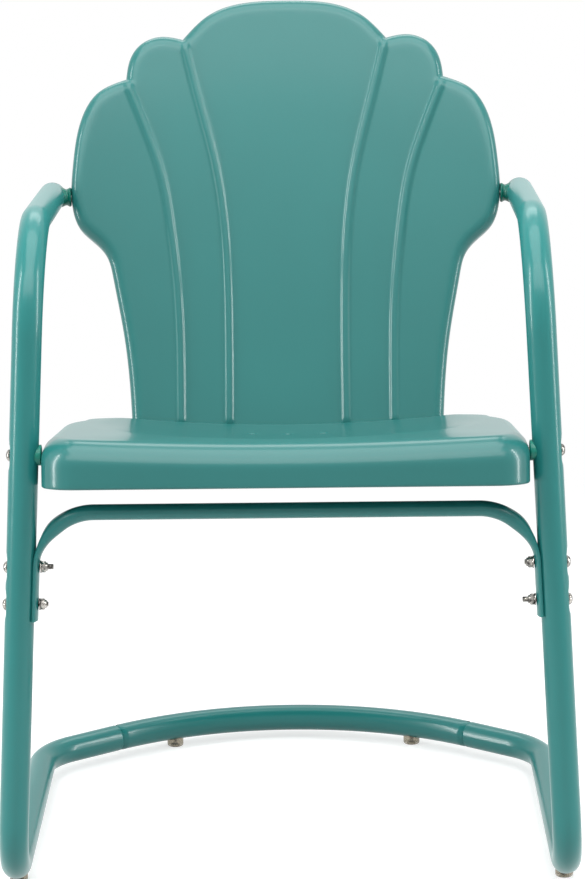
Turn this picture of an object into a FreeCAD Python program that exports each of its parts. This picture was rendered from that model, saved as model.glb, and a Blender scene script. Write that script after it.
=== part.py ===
import FreeCAD, Part
import math
import os

# A metal spring lawn chair in millimetres: +Z is up and the chair faces -Y.
# The pieces are drawn with the floor at z = 0, the front legs at y = 0 and the middle of the chair at x = 0.
# place_on_origin then slides them all along Y, so that the origin lies under the middle of the chair.

# Side tubes: legs lean towards the middle of the chair, arms spread a little towards the rear
TUBE_OD = 30.0
TUBE_WALL = 1.5
FLOOR_HALF_WIDTH = 288.0
SPLAY_DEG = 3.2
FLOOR_BEND_R = 65.0
ARM_BEND_R = 100.0
ARM_END_Y = 394.0
ARM_END_HEIGHT = 676.0
ARM_RISE_DEG = 4.0
ARM_FLARE_DEG = 1.1
ARM_BOLT_INSET = 17.0

# Base: bowed crossbar at the back, swaged into the turned ends of the side tubes
BASE_DEPTH = 540.0
BAR_RADIUS = 336.0
BAR_HALF_ANGLE_DEG = 38.0
CORNER_R = 75.0
TENON_LENGTH = 34.0
TENON_GAP = 0.2
SHOULDER = 2.0
BAR_SCREW_INSET = 16.0
BAR_SCREW_SHANK = 9.0

# Feet
FOOT_HEIGHT = 8.0
FOOT_R = 9.5
FRONT_FOOT_Y = 68.0
REAR_FOOT_X = 140.0
FOOT_STEM_R = 3.0
FOOT_STEM_LENGTH = 7.0
FOOT_SCREW_R = 1.4
FOOT_SCREW_HEAD_R = 3.2
FOOT_SCREW_HEAD_RECESS = 1.5

# The spring: the front floor bend flexes, so each side tube is parted there round the flexing axis
FLEX_ANGLE_DEG = 45.0
FLEX_CLEARANCE = 2.0
FLEX_GAP = 0.3

# Seat pan
SEAT_FRONT_Y = -45.0
SEAT_FRONT_HEIGHT = 500.0
SEAT_SLOPE_DEG = 8.7
SEAT_SKIRT = 49.0
SEAT_FRONT_CORNER_R = 38.0
SEAT_REAR_CORNER_R = 125.0
SEAT_EDGE_R = 12.0
SEAT_SIDE_GAP = 3.2
SEAT_BOLT_HEIGHT = 475.4
DISH_CENTRE = 250.0
DISH_R = 226.0
DISH_DEPTH = 16.0
DRAIN_R = 5.0
DRAIN_PITCH = 38.0
DRAIN_FROM_FRONT = 296.0
SHEET = 1.2

# Back shell
BACK_RECLINE_DEG = 17.2
BACK_CURVE_R = 700.0
BACK_RISE = 224.0
BACK_OVERLAP = 46.0
BACK_FLANGE = 25.0
BACK_EDGE_R = 7.0
BACK_CORNER_R = 18.0
HOLLOW_STEPS = 4
CURVE_SAMPLES = 6
ARM_BOLT_DEPTH = 16.0
ARM_HEAD_GAP = 0.7
ARM_SIDE_GAP = 7.0
SEAM_GAP = 0.3
RIB_WIDTH = 12.0
RIB_HEIGHT = 2.5
RIB_END_DROP = 8.0
BACK_BOLT_PITCH = 105.0
BACK_BOLT_DROP = 30.0

# Outline of the back's right half: across as a share of half its width, up as a share of the rise above
# the arm bolts, down as a share of the drop below them
CROWN_LOBE = [(0.0, 1.0), (0.365, 0.92), (0.48, 0.80)]
SHOULDER_LOBE = [(0.48, 0.80), (0.585, 0.812), (0.69, 0.757), (0.731, 0.68), (0.745, 0.593)]
SIDE_CURVE = [(0.745, 0.593), (0.874, 0.523), (0.958, 0.369), (0.992, 0.16), (0.994, -0.045), (0.959, -0.125),
              (0.895, -0.175), (0.842, -0.224), (0.81, -0.313), (0.76, -0.545), (0.732, -0.783), (0.726, -0.88)]
INNER_RIB = [(0.47, 0.775), (0.40, 0.473), (0.328, 0.165), (0.287, -0.12), (0.273, -0.40)]
OUTER_RIB = [(0.735, 0.565), (0.651, 0.339), (0.583, 0.125), (0.541, -0.10), (0.508, -0.36), (0.496, -0.70)]

# Under-seat brace
BRACE_OD = 16.0
BRACE_WALL = 1.2
BRACE_HEIGHT = 416.0
BRACE_BEND_R = 58.0
BRACE_ROUND_TURN_DEG = 62.0
BRACE_TOP_BOLT_HEIGHT = 360.0
BRACE_LOW_BOLT_HEIGHT = 321.0
STRAP_MARGIN_ABOVE = 7.0
STRAP_MARGIN_BELOW = 16.0
STRAP_THICKNESS = 4.0
STRAP_WIDTH = 22.0
FIT_GAP = 0.1

# Spacers, plugs and fasteners
SEAT_SPACER_R = 10.5
ARM_SPACER_R = 11.0
SPACER_CHAMFER = 1.5
PLUG_LENGTH = 16.0
PLUG_RIM = 2.0
PLUG_RIM_R = 1.6
BOLT_R = 3.0
BOLT_CLEARANCE = 0.2
HEAD_R = 6.2
HEAD_HEIGHT = 3.8
SOCKET_R = 2.2
SOCKET_DEPTH = 2.0
PRESS_DEPTH = 1.4
PRESS_HALF_LENGTH = 12.0
NUT_FLATS = 10.0
NUT_HEIGHT = 4.4
NUT_COLLAR_R = 4.4
NUT_COLLAR_HEIGHT = 2.0
BOLT_TIP = 3.0
WASHER_R = 6.4
WASHER_THICKNESS = 1.2
INSERT_R = 4.8
INSERT_LENGTH = 12.0

TOLERANCE = 0.01

V = FreeCAD.Vector
X_AXIS = V(1, 0, 0)
Y_AXIS = V(0, 1, 0)
Z_AXIS = V(0, 0, 1)
RIGHT = 1
SIDES = {"right": RIGHT, "left": -RIGHT}

TUBE_R = TUBE_OD / 2
BORE_R = TUBE_R - TUBE_WALL
FLEX_RADIUS = TUBE_R + FLEX_CLEARANCE
BOLT_HOLE_R = BOLT_R + BOLT_CLEARANCE
SPLAY = math.radians(SPLAY_DEG)
BASE_Z = FOOT_HEIGHT + TUBE_R
BASE_S = BASE_Z / math.cos(SPLAY)


def line(start, end):
    return Part.LineSegment(start, end).toShape()


def arc(start, middle, end):
    return Part.Arc(start, middle, end).toShape()


def side_point(y, s):
    """A point of the right side tube's bend plane, s being measured from the floor up that plane."""
    return V(FLOOR_HALF_WIDTH - s * math.sin(SPLAY), y, s * math.cos(SPLAY))


def leg_axis_x(height):
    return FLOOR_HALF_WIDTH - height * math.tan(SPLAY)


def pipe(edges, radius):
    first = edges[0]
    start = first.valueAt(first.FirstParameter)
    heading = first.tangentAt(first.FirstParameter)
    ring = Part.Wire([Part.Circle(start, heading, radius).toShape()])
    return Part.Wire(edges).makePipeShell([ring], True, False).Solids[0]


def rod(start, direction, radius, length):
    return Part.makeCylinder(radius, length, start, direction)


def mirrored(shape):
    return shape.mirror(V(0, 0, 0), X_AXIS)


def both_sides(shape):
    return Part.makeCompound([shape, mirrored(shape)])


def bend_plane_arc(centre, radius, start_deg, end_deg):
    """An arc in the right bend plane; angles run from +y towards up."""
    angles = [math.radians(a) for a in (start_deg, (start_deg + end_deg) / 2, end_deg)]
    points = [side_point(centre[0] + radius * math.cos(a), centre[1] + radius * math.sin(a)) for a in angles]
    return arc(*points)


def bent_corner(before, corner, after, radius):
    """The arc that rounds the corner between two straight runs."""
    back = (before - corner).normalize()
    ahead = (after - corner).normalize()
    half_angle = back.getAngle(ahead) / 2
    reach = radius / math.tan(half_angle)
    inward = (back + ahead).normalize()
    crown = corner + inward * (radius / math.sin(half_angle) - radius)
    return arc(corner + back * reach, crown, corner + ahead * reach)


def arm_line_s(y):
    rise = math.tan(math.radians(ARM_RISE_DEG))
    return ARM_END_HEIGHT / math.cos(SPLAY) + (ARM_END_Y - y) * rise


def bar_point(angle_deg):
    angle = math.radians(angle_deg)
    return V(BAR_RADIUS * math.sin(angle), BASE_DEPTH - BAR_RADIUS * (1 - math.cos(angle)), BASE_Z)


def bar_heading(angle_deg):
    angle = math.radians(angle_deg)
    return V(math.cos(angle), -math.sin(angle), 0)


def bar_arc():
    return arc(bar_point(-BAR_HALF_ANGLE_DEG), bar_point(0), bar_point(BAR_HALF_ANGLE_DEG))


JOINT = bar_point(BAR_HALF_ANGLE_DEG)
JOINT_HEADING = bar_heading(BAR_HALF_ANGLE_DEG)
JOINT_OUTWARD = Z_AXIS.cross(JOINT_HEADING)
FLOOR_BEND_CENTRE = (FLOOR_BEND_R, BASE_S + FLOOR_BEND_R)
FLEX_POINT = side_point(
    FLOOR_BEND_R - FLOOR_BEND_R * math.cos(math.radians(FLEX_ANGLE_DEG)),
    FLOOR_BEND_CENTRE[1] - FLOOR_BEND_R * math.sin(math.radians(FLEX_ANGLE_DEG)),
)
ARM_CORNER = side_point(0, arm_line_s(0))
ARM_FLARE = X_AXIS * (ARM_END_Y * math.tan(math.radians(ARM_FLARE_DEG)))
ARM_END = side_point(ARM_END_Y, arm_line_s(ARM_END_Y)) + ARM_FLARE
ARM_DIRECTION = (ARM_CORNER - ARM_END).normalize()
ARM_BOLT = ARM_END + ARM_DIRECTION * ARM_BOLT_INSET


def side_tube_path():
    """The right side tube from the arm's rear end round to the stub that takes the crossbar."""
    turn = 90 - BAR_HALF_ANGLE_DEG
    arm_bend = bent_corner(ARM_END, ARM_CORNER, side_point(0, BASE_S), ARM_BEND_R)
    floor_bend = bend_plane_arc(FLOOR_BEND_CENTRE, FLOOR_BEND_R, 180, 270)
    corner_centre_x = side_point(0, BASE_S).x - CORNER_R
    stub_run = corner_centre_x + CORNER_R * math.cos(math.radians(turn)) - JOINT.x
    stub_start = JOINT + JOINT_HEADING * (stub_run / JOINT_HEADING.x)
    corner_y = stub_start.y - CORNER_R * math.sin(math.radians(turn))

    def corner(angle_deg):
        angle = math.radians(angle_deg)
        return V(corner_centre_x + CORNER_R * math.cos(angle), corner_y + CORNER_R * math.sin(angle), BASE_Z)

    return [
        line(ARM_END, arm_bend.valueAt(arm_bend.FirstParameter)),
        arm_bend,
        line(arm_bend.valueAt(arm_bend.LastParameter), floor_bend.valueAt(floor_bend.FirstParameter)),
        floor_bend,
        line(floor_bend.valueAt(floor_bend.LastParameter), corner(0)),
        arc(corner(0), corner(turn / 2), corner(turn)),
        line(corner(turn), JOINT),
    ]


def leg_press(height, depth, half_length):
    """The block that lies outside the flat pressed into the leg's outer face at a bolt."""
    x = leg_axis_x(height) + TUBE_R - depth
    return Part.makeBox(TUBE_R, TUBE_OD, 2 * half_length, V(x, -TUBE_R, height - half_length))


LEG_BOLT_HEIGHTS = [SEAT_BOLT_HEIGHT, BRACE_TOP_BOLT_HEIGHT, BRACE_LOW_BOLT_HEIGHT]


def side_tube():
    """The right side tube, hollow, pressed flat and drilled where bolts pass."""
    path = side_tube_path()
    outer = pipe(path, TUBE_R)
    bore = pipe(path, BORE_R)
    for height in LEG_BOLT_HEIGHTS:
        outer = outer.cut(leg_press(height, PRESS_DEPTH, PRESS_HALF_LENGTH))
        bore = bore.cut(leg_press(height, PRESS_DEPTH + TUBE_WALL, PRESS_HALF_LENGTH + TUBE_WALL))
    tube = outer.cut(bore)
    for height in LEG_BOLT_HEIGHTS:
        tube = tube.cut(rod(V(leg_axis_x(height) - TUBE_OD, 0, height), X_AXIS, BOLT_HOLE_R, 2 * TUBE_OD))
    tube = tube.cut(rod(ARM_BOLT, X_AXIS * -1, INSERT_R + FIT_GAP, TUBE_OD))
    foot = V(side_point(0, BASE_S).x, FRONT_FOOT_Y, 0)
    tube = tube.cut(rod(foot, Z_AXIS, FOOT_STEM_R + FIT_GAP, BASE_Z))
    return tube.cut(bar_screw_hole())


def part_at_flex(tube):
    """The side tube as two solids, the upper frame and the base runner, with the flex gap between them."""
    start = V(0, FLEX_POINT.y, FLEX_POINT.z)
    reach = 2 * FLOOR_HALF_WIDTH
    ring = rod(start, X_AXIS, FLEX_RADIUS + FLEX_GAP, reach).cut(rod(start, X_AXIS, FLEX_RADIUS, reach))
    upper_side = Part.makeBox(reach, reach, reach, V(0, -reach / 2, 0) + start)
    upper_side.rotate(start, X_AXIS, FLEX_ANGLE_DEG)
    solids = sorted(tube.cut(ring.common(upper_side)).Solids, key=lambda solid: solid.BoundBox.ZMax)
    return solids[-1], solids[0]


def bar_screw_seat():
    """Where the right crossbar screw enters from behind, through stub and tenon."""
    return JOINT + JOINT_HEADING * BAR_SCREW_INSET + JOINT_OUTWARD * TUBE_R


def bar_screw_hole():
    return rod(bar_screw_seat(), JOINT_OUTWARD * -1, BOLT_R, TUBE_R)


def crossbar():
    half = BAR_HALF_ANGLE_DEG
    inner_half = half - math.degrees(SHOULDER / BAR_RADIUS)
    bar = pipe([bar_arc()], TUBE_R)
    tenon_r = BORE_R - TENON_GAP
    tenon_bore_r = tenon_r - TUBE_WALL
    for side in (-1, 1):
        end = bar_point(side * half)
        heading = bar_heading(side * half) * side
        bar = bar.fuse(rod(end - heading * SHOULDER, heading, tenon_r, TENON_LENGTH + SHOULDER))
    bar = bar.cut(pipe([arc(bar_point(-inner_half), bar_point(0), bar_point(inner_half))], BORE_R))
    for side in (-1, 1):
        end = bar_point(side * half)
        heading = bar_heading(side * half) * side
        bar = bar.cut(rod(end - heading * 2 * SHOULDER, heading, tenon_bore_r, TENON_LENGTH + 3 * SHOULDER))
    for hole in (bar_screw_hole(), mirrored(bar_screw_hole())):
        bar = bar.cut(hole)
    for x in (-REAR_FOOT_X, REAR_FOOT_X):
        bar = bar.cut(rod(V(x, rear_foot_y(), 0), Z_AXIS, FOOT_STEM_R + FIT_GAP, BASE_Z))
    return bar


def rear_foot_y():
    return bar_point(math.degrees(math.asin(REAR_FOOT_X / BAR_RADIUS))).y


def foot(x, y, tube_over_it):
    """A glide whose top follows the tube, with a stem pushed into the tube and a bore for its screw."""
    saddle = TUBE_R - math.sqrt(TUBE_R ** 2 - FOOT_R ** 2)
    disc = rod(V(x, y, 0), Z_AXIS, FOOT_R, FOOT_HEIGHT + saddle).cut(tube_over_it)
    stem = rod(V(x, y, FOOT_HEIGHT / 2), Z_AXIS, FOOT_STEM_R, FOOT_HEIGHT / 2 + FOOT_STEM_LENGTH)
    glide = disc.fuse(stem)
    glide = glide.cut(rod(V(x, y, 0), Z_AXIS, FOOT_SCREW_R + FIT_GAP, BASE_Z))
    return glide.cut(rod(V(x, y, 0), Z_AXIS, FOOT_SCREW_HEAD_R + FIT_GAP, 2 * FOOT_SCREW_HEAD_RECESS))


def foot_screw(x, y):
    head = rod(V(x, y, FOOT_SCREW_HEAD_RECESS), Z_AXIS, FOOT_SCREW_HEAD_R, FOOT_SCREW_HEAD_RECESS)
    shank = rod(V(x, y, FOOT_SCREW_HEAD_RECESS), Z_AXIS, FOOT_SCREW_R, FOOT_HEIGHT + FOOT_STEM_LENGTH / 2)
    return head.fuse(shank)


def bolt(seat, direction, length):
    """A domed, socketed bolt: seat is the middle of the head's underside, direction runs along the shank."""
    dome_r = (HEAD_R ** 2 + HEAD_HEIGHT ** 2) / (2 * HEAD_HEIGHT)
    dome = Part.makeSphere(dome_r, seat + direction * (dome_r - HEAD_HEIGHT))
    head = dome.common(rod(seat, direction * -1, HEAD_R, HEAD_HEIGHT + 1))
    top = seat - direction * HEAD_HEIGHT
    head = head.cut(rod(top, direction, SOCKET_R, SOCKET_DEPTH))
    return head.fuse(rod(seat, direction, BOLT_R, length))


def hexagon(centre, direction, flats, height):
    circle_r = flats / math.sqrt(3)
    prism = Part.Face(Part.makePolygon([
        V(circle_r * math.cos(math.radians(60 * i)), circle_r * math.sin(math.radians(60 * i)), 0)
        for i in range(7)
    ])).extrude(Z_AXIS * height)
    prism.Placement = FreeCAD.Placement(centre, FreeCAD.Rotation(Z_AXIS, direction))
    return prism


def nut(seat, direction):
    """A lock nut whose face is on seat and whose collar points along direction."""
    body = hexagon(seat, direction, NUT_FLATS, NUT_HEIGHT)
    collar = rod(seat + direction * NUT_HEIGHT, direction, NUT_COLLAR_R, NUT_COLLAR_HEIGHT)
    bore = rod(seat - direction, direction, BOLT_R + FIT_GAP, NUT_HEIGHT + NUT_COLLAR_HEIGHT + 2)
    return body.fuse(collar).cut(bore)


def washer(seat, direction):
    ring = rod(seat, direction, WASHER_R, WASHER_THICKNESS)
    return ring.cut(rod(seat - direction, direction, BOLT_HOLE_R, WASHER_THICKNESS + 2))


NUT_STACK = NUT_HEIGHT + NUT_COLLAR_HEIGHT + BOLT_TIP


# Frames of the seat pan and of the back shell.
# Seat: x across, y back along the pan from its front edge, z out of its top.
# Back: x across, y rearward out of the shell, z up along it from the arm bolts.
SEAT_FRAME = FreeCAD.Placement(V(0, SEAT_FRONT_Y, SEAT_FRONT_HEIGHT), FreeCAD.Rotation(X_AXIS, -SEAT_SLOPE_DEG))
BACK_ROTATION = FreeCAD.Rotation(X_AXIS, -BACK_RECLINE_DEG)
BACK_HALF_WIDTH = ARM_BOLT.x - TUBE_R - ARM_SIDE_GAP
BACK_SIDE_SAG = BACK_CURVE_R - math.sqrt(BACK_CURVE_R ** 2 - BACK_HALF_WIDTH ** 2)
BACK_ORIGIN = V(0, ARM_BOLT.y, ARM_BOLT.z) + BACK_ROTATION.multVec(V(0, BACK_SIDE_SAG - ARM_BOLT_DEPTH, 0))
BACK_FRAME = FreeCAD.Placement(BACK_ORIGIN, BACK_ROTATION)
SEAT_HALF_WIDTH = leg_axis_x(SEAT_BOLT_HEIGHT) - TUBE_R - SEAT_SIDE_GAP


def seat_junction():
    """How far below the arm bolts, along the shell, the seat's top plane meets the middle of the back."""
    up_seat = SEAT_FRAME.Rotation.multVec(Z_AXIS)
    up_back = BACK_ROTATION.multVec(Z_AXIS)
    return BACK_ORIGIN.sub(SEAT_FRAME.Base).dot(up_seat) / up_back.dot(up_seat)


BACK_JUNCTION = seat_junction()
BACK_DROP = BACK_JUNCTION + BACK_OVERLAP
SEAT_LENGTH = SEAT_FRAME.inverse().multVec(BACK_FRAME.multVec(V(0, 0, -BACK_JUNCTION))).y


def shell_cylinder(radius):
    """The solid in front of a surface concentric with the shell's front face, in the back's frame."""
    return rod(V(0, -BACK_CURVE_R, -2 * BACK_DROP), Z_AXIS, radius, 2 * (BACK_DROP + BACK_RISE))


def in_seat_frame(shape):
    shape.Placement = SEAT_FRAME.inverse().multiply(BACK_FRAME).multiply(shape.Placement)
    return shape


def placed(shape, frame):
    shape.Placement = frame.multiply(shape.Placement)
    return shape


def seat_outline(inset):
    """The pan's plan view, drawn at a distance inside its outer face."""
    half = SEAT_HALF_WIDTH - inset
    front = inset
    rear = SEAT_LENGTH
    front_r = SEAT_FRONT_CORNER_R - inset
    rear_r = SEAT_REAR_CORNER_R - inset
    slant = math.sqrt(0.5)

    def corner(centre_x, centre_y, radius, x_sign, y_sign):
        return V(centre_x + x_sign * radius * slant, centre_y + y_sign * radius * slant, 0)

    return Part.Wire([
        line(V(-half + front_r, front, 0), V(half - front_r, front, 0)),
        arc(V(half - front_r, front, 0), corner(half - front_r, front + front_r, front_r, 1, -1),
            V(half, front + front_r, 0)),
        line(V(half, front + front_r, 0), V(half, rear - rear_r, 0)),
        arc(V(half, rear - rear_r, 0), corner(half - rear_r, rear - rear_r, rear_r, 1, 1),
            V(half - rear_r, rear, 0)),
        line(V(half - rear_r, rear, 0), V(-half + rear_r, rear, 0)),
        arc(V(-half + rear_r, rear, 0), corner(-half + rear_r, rear - rear_r, rear_r, -1, 1),
            V(-half, rear - rear_r, 0)),
        line(V(-half, rear - rear_r, 0), V(-half, front + front_r, 0)),
        arc(V(-half, front + front_r, 0), corner(-half + front_r, front + front_r, front_r, -1, -1),
            V(-half + front_r, front, 0)),
    ])


def seat_block(inset, depth):
    """The pan as a full block, inset all round and under its top, with its top edge rolled and dished."""
    block = Part.Face(seat_outline(inset)).extrude(Z_AXIS * -depth)
    block.translate(Z_AXIS * -inset)
    block = block.common(in_seat_frame(shell_cylinder(BACK_CURVE_R - SEAM_GAP - inset)))
    top = [edge for edge in block.Edges if edge.BoundBox.ZMin > -inset - TOLERANCE]
    block = block.makeFillet(SEAT_EDGE_R - inset, top)
    bowl_r = (DISH_R ** 2 + DISH_DEPTH ** 2) / (2 * DISH_DEPTH)
    bowl = Part.makeSphere(bowl_r + inset, V(0, DISH_CENTRE, bowl_r - DISH_DEPTH))
    return block.cut(bowl)


def seat_pan():
    pan = seat_block(0, SEAT_SKIRT).cut(seat_block(SHEET, SEAT_SKIRT + SHEET))
    for i in (-1, 0, 1):
        pan = pan.cut(rod(V(i * DRAIN_PITCH, DRAIN_FROM_FRONT, -SEAT_SKIRT), Z_AXIS, DRAIN_R, 2 * SEAT_SKIRT))
    pan = placed(pan, SEAT_FRAME)
    hole = rod(V(SEAT_HALF_WIDTH - SEAT_SKIRT / 2, 0, SEAT_BOLT_HEIGHT), X_AXIS, BOLT_HOLE_R, SEAT_SKIRT)
    pan = pan.cut(hole).cut(mirrored(hole))
    for angle_deg in back_bolt_angles():
        seat, inward = back_bolt_axis(angle_deg)
        pan = pan.cut(rod(seat, inward, BOLT_HOLE_R, SEAT_SKIRT / 2))
    return pan


def shell_point(share):
    across, up = share
    height = up * (BACK_RISE if up > 0 else BACK_DROP)
    return V(across * BACK_HALF_WIDTH, 0, height)


def spline(points):
    curve = Part.BSplineCurve()
    curve.interpolate(points)
    return curve.toShape()


def mirror_points(points):
    return [V(-p.x, p.y, p.z) for p in reversed(points)]


def inset_lobe(points, inset):
    """One of the outline's curves, drawn at a distance inside it."""
    curve = spline(points)
    if inset == 0:
        return curve
    steps = CURVE_SAMPLES * (len(points) - 1)
    inside = []
    for i in range(steps + 1):
        at = curve.FirstParameter + (curve.LastParameter - curve.FirstParameter) * i / steps
        heading = curve.tangentAt(at)
        inside.append(curve.valueAt(at) + V(heading.z, 0, -heading.x) * inset)
    return spline(inside)


def edge_start(edge):
    return edge.valueAt(edge.FirstParameter)


def edge_end(edge):
    return edge.valueAt(edge.LastParameter)


def notch_arc(before, notch, after):
    """The arc round a notch between two lobes that are drawn inside the outline."""
    start, end = edge_end(before), edge_start(after)
    middle = (start + end) * 0.5
    middle = notch + middle.sub(notch).normalize() * start.distanceToPoint(notch)
    return arc(start, middle, end)


def back_outline(inset):
    """The scalloped outline at a distance inside its outer face, in the plane y = 0 of the back's frame."""
    crown = [shell_point(p) for p in CROWN_LOBE]
    shoulder = [shell_point(p) for p in SHOULDER_LOBE]
    side = [shell_point(p) for p in SIDE_CURVE]
    curves = [mirror_points(crown)[:-1] + crown, shoulder, side, mirror_points(side), mirror_points(shoulder)]
    lobes = [inset_lobe(points, inset) for points in curves]
    edges = []
    for i, lobe in enumerate(lobes):
        edges.append(lobe)
        if curves[i] is side:
            edges += bottom_edges(edge_end(lobe), side[-1].x, inset)
        elif inset > 0:
            edges.append(notch_arc(lobe, curves[i][-1], lobes[(i + 1) % len(lobes)]))
    return Part.Wire(edges)


def bottom_edges(start, half_width, inset):
    """The sides' straight ends, the rounded lower corners and the lower edge, from right to left."""
    centre = V(half_width - BACK_CORNER_R, 0, -BACK_DROP + BACK_CORNER_R)
    radius = BACK_CORNER_R - inset
    slant = radius * math.sqrt(0.5)
    right = [centre + V(radius, 0, 0), centre + V(slant, 0, -slant), centre + V(0, 0, -radius)]
    left = mirror_points(right)
    return [
        line(start, right[0]), arc(*right), line(right[2], left[0]), arc(*left),
        line(left[2], V(-start.x, 0, start.z)),
    ]


def back_slab(outline, front, rear):
    """The block within an outline, between two depths behind the back's curved front face."""
    prism = Part.Face(outline).extrude(Y_AXIS * (2 * BACK_HALF_WIDTH))
    prism.translate(Y_AXIS * -BACK_HALF_WIDTH)
    return prism.common(shell_cylinder(BACK_CURVE_R + rear)).cut(shell_cylinder(BACK_CURVE_R + front))


def back_hollow_steps():
    """Blocks that hollow the back from behind, stepping round the inside of its rolled edge."""
    inner_r = BACK_EDGE_R - SHEET
    span = math.pi / 2 + math.asin(BACK_HALF_WIDTH / BACK_CURVE_R)
    for i in range(HOLLOW_STEPS):
        angle = span * i / (HOLLOW_STEPS - 1)
        inset = BACK_EDGE_R - inner_r * math.cos(angle)
        depth = BACK_EDGE_R - inner_r * math.cos(span - angle)
        yield back_slab(back_outline(inset), depth, BACK_FLANGE + SHEET)


def rib_band(shares, width):
    """A rib's plan: two splines either side of its middle line, closed by its ends."""
    middle = [shell_point(p) for p in shares]
    middle.append(V(middle[-1].x, 0, -BACK_JUNCTION - RIB_END_DROP))
    left, right = [], []
    for i, point in enumerate(middle):
        ahead = middle[min(i + 1, len(middle) - 1)].sub(middle[max(i - 1, 0)])
        across = V(ahead.z, 0, -ahead.x).normalize() * (width / 2)
        left.append(point - across)
        right.append(point + across)
    return Part.Face(Part.Wire([
        spline(left), line(left[-1], right[-1]), spline(list(reversed(right))), line(right[0], left[0]),
    ]))


def rib_prism(shares, width, front, rear):
    band = rib_band(shares, width).extrude(Y_AXIS * (2 * BACK_HALF_WIDTH))
    band.translate(Y_AXIS * -BACK_HALF_WIDTH)
    slab = shell_cylinder(BACK_CURVE_R + rear).cut(shell_cylinder(BACK_CURVE_R - front))
    return band.common(slab)


def back_bolt_angles():
    step = math.degrees(math.asin(BACK_BOLT_PITCH / BACK_CURVE_R))
    return [-step, 0.0, step]


def back_bolt_axis(angle_deg):
    """Where a seat-to-back bolt's head sits on the shell's rear face, and the way its shank runs."""
    angle = math.radians(angle_deg)
    radial = V(math.sin(angle), math.cos(angle), 0)
    height = -BACK_JUNCTION - BACK_BOLT_DROP
    seat = V(0, -BACK_CURVE_R, height) + radial * (BACK_CURVE_R + SHEET)
    return BACK_FRAME.multVec(seat), BACK_ROTATION.multVec(radial * -1)


def back_shell():
    shell = back_slab(back_outline(0), 0, BACK_FLANGE)
    rim = [edge for edge in shell.Edges if on_front_rim(edge)]
    shell = shell.makeFillet(BACK_EDGE_R, rim)
    for hollow in back_hollow_steps():
        shell = shell.cut(hollow)
    for shares in (INNER_RIB, OUTER_RIB):
        rib = rib_prism(shares, RIB_WIDTH, RIB_HEIGHT, SHEET / 2)
        groove = rib_prism(shares, RIB_WIDTH - 2 * SHEET, RIB_HEIGHT - SHEET, 2 * SHEET)
        for shape in (rib, mirrored(rib)):
            shell = shell.fuse(shape)
        for shape in (groove, mirrored(groove)):
            shell = shell.cut(shape)
    shell = placed(shell, BACK_FRAME)
    hole = rod(ARM_BOLT, X_AXIS * -1, BOLT_HOLE_R, 2 * TUBE_OD)
    shell = shell.cut(hole).cut(mirrored(hole))
    for angle_deg in back_bolt_angles():
        seat, inward = back_bolt_axis(angle_deg)
        shell = shell.cut(rod(seat - inward * SHEET, inward, BOLT_HOLE_R, 4 * SHEET))
    return shell


def on_front_rim(edge):
    """True for an edge that lies in the shell's front face all along."""
    for i in range(5):
        span = edge.LastParameter - edge.FirstParameter
        point = edge.valueAt(edge.FirstParameter + span * i / 4)
        if abs(math.hypot(point.x, point.y + BACK_CURVE_R) - BACK_CURVE_R) > TOLERANCE:
            return False
    return True


def seat_spacer(leg):
    start = V(SEAT_HALF_WIDTH, 0, SEAT_BOLT_HEIGHT)
    return saddle_spacer(start, SEAT_SPACER_R, leg)


def arm_spacer(arm):
    start = V(BACK_HALF_WIDTH, ARM_BOLT.y, ARM_BOLT.z)
    return saddle_spacer(start, ARM_SPACER_R, arm)


def saddle_spacer(start, radius, tube):
    """A round spacer along X from a sheet's side to a tube, its far end following the tube."""
    body = rod(start + X_AXIS * FIT_GAP, X_AXIS, radius, TUBE_R)
    rim = [edge for edge in body.Edges if edge.BoundBox.XMax < start.x + FIT_GAP + TOLERANCE]
    body = body.makeChamfer(SPACER_CHAMFER, rim)
    body = body.cut(tube)
    return body.cut(rod(start - X_AXIS, X_AXIS, BOLT_HOLE_R, TUBE_OD))


def arm_plug():
    """A push-in plug that closes the arm's rear end."""
    back = ARM_DIRECTION * -1
    barrel = rod(ARM_END, ARM_DIRECTION, BORE_R - TENON_GAP, PLUG_LENGTH - INSERT_R * 2)
    rim = rod(ARM_END, back, TUBE_R, PLUG_RIM)
    edge = [e for e in rim.Edges if e.CenterOfMass.sub(ARM_END).dot(back) > PLUG_RIM - TOLERANCE]
    return rim.makeFillet(PLUG_RIM_R, edge).fuse(barrel)


def strap():
    """The brace's flattened end, a strip that wraps the inner side of the right leg, and its top's middle."""
    bottom = side_point(0, (BRACE_LOW_BOLT_HEIGHT - STRAP_MARGIN_BELOW) / math.cos(SPLAY))
    top = side_point(0, (BRACE_TOP_BOLT_HEIGHT + STRAP_MARGIN_ABOVE) / math.cos(SPLAY))
    along = top.sub(bottom)
    inner_r = TUBE_R + FIT_GAP
    ring = rod(bottom, along, inner_r + STRAP_THICKNESS, along.Length).cut(rod(bottom, along, inner_r, along.Length))
    window_corner = V(top.x - TUBE_OD - inner_r / 2, -STRAP_WIDTH / 2, bottom.z - TUBE_R)
    window = Part.makeBox(TUBE_OD, STRAP_WIDTH, along.Length + TUBE_OD, window_corner)
    return ring.common(window), top


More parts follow.
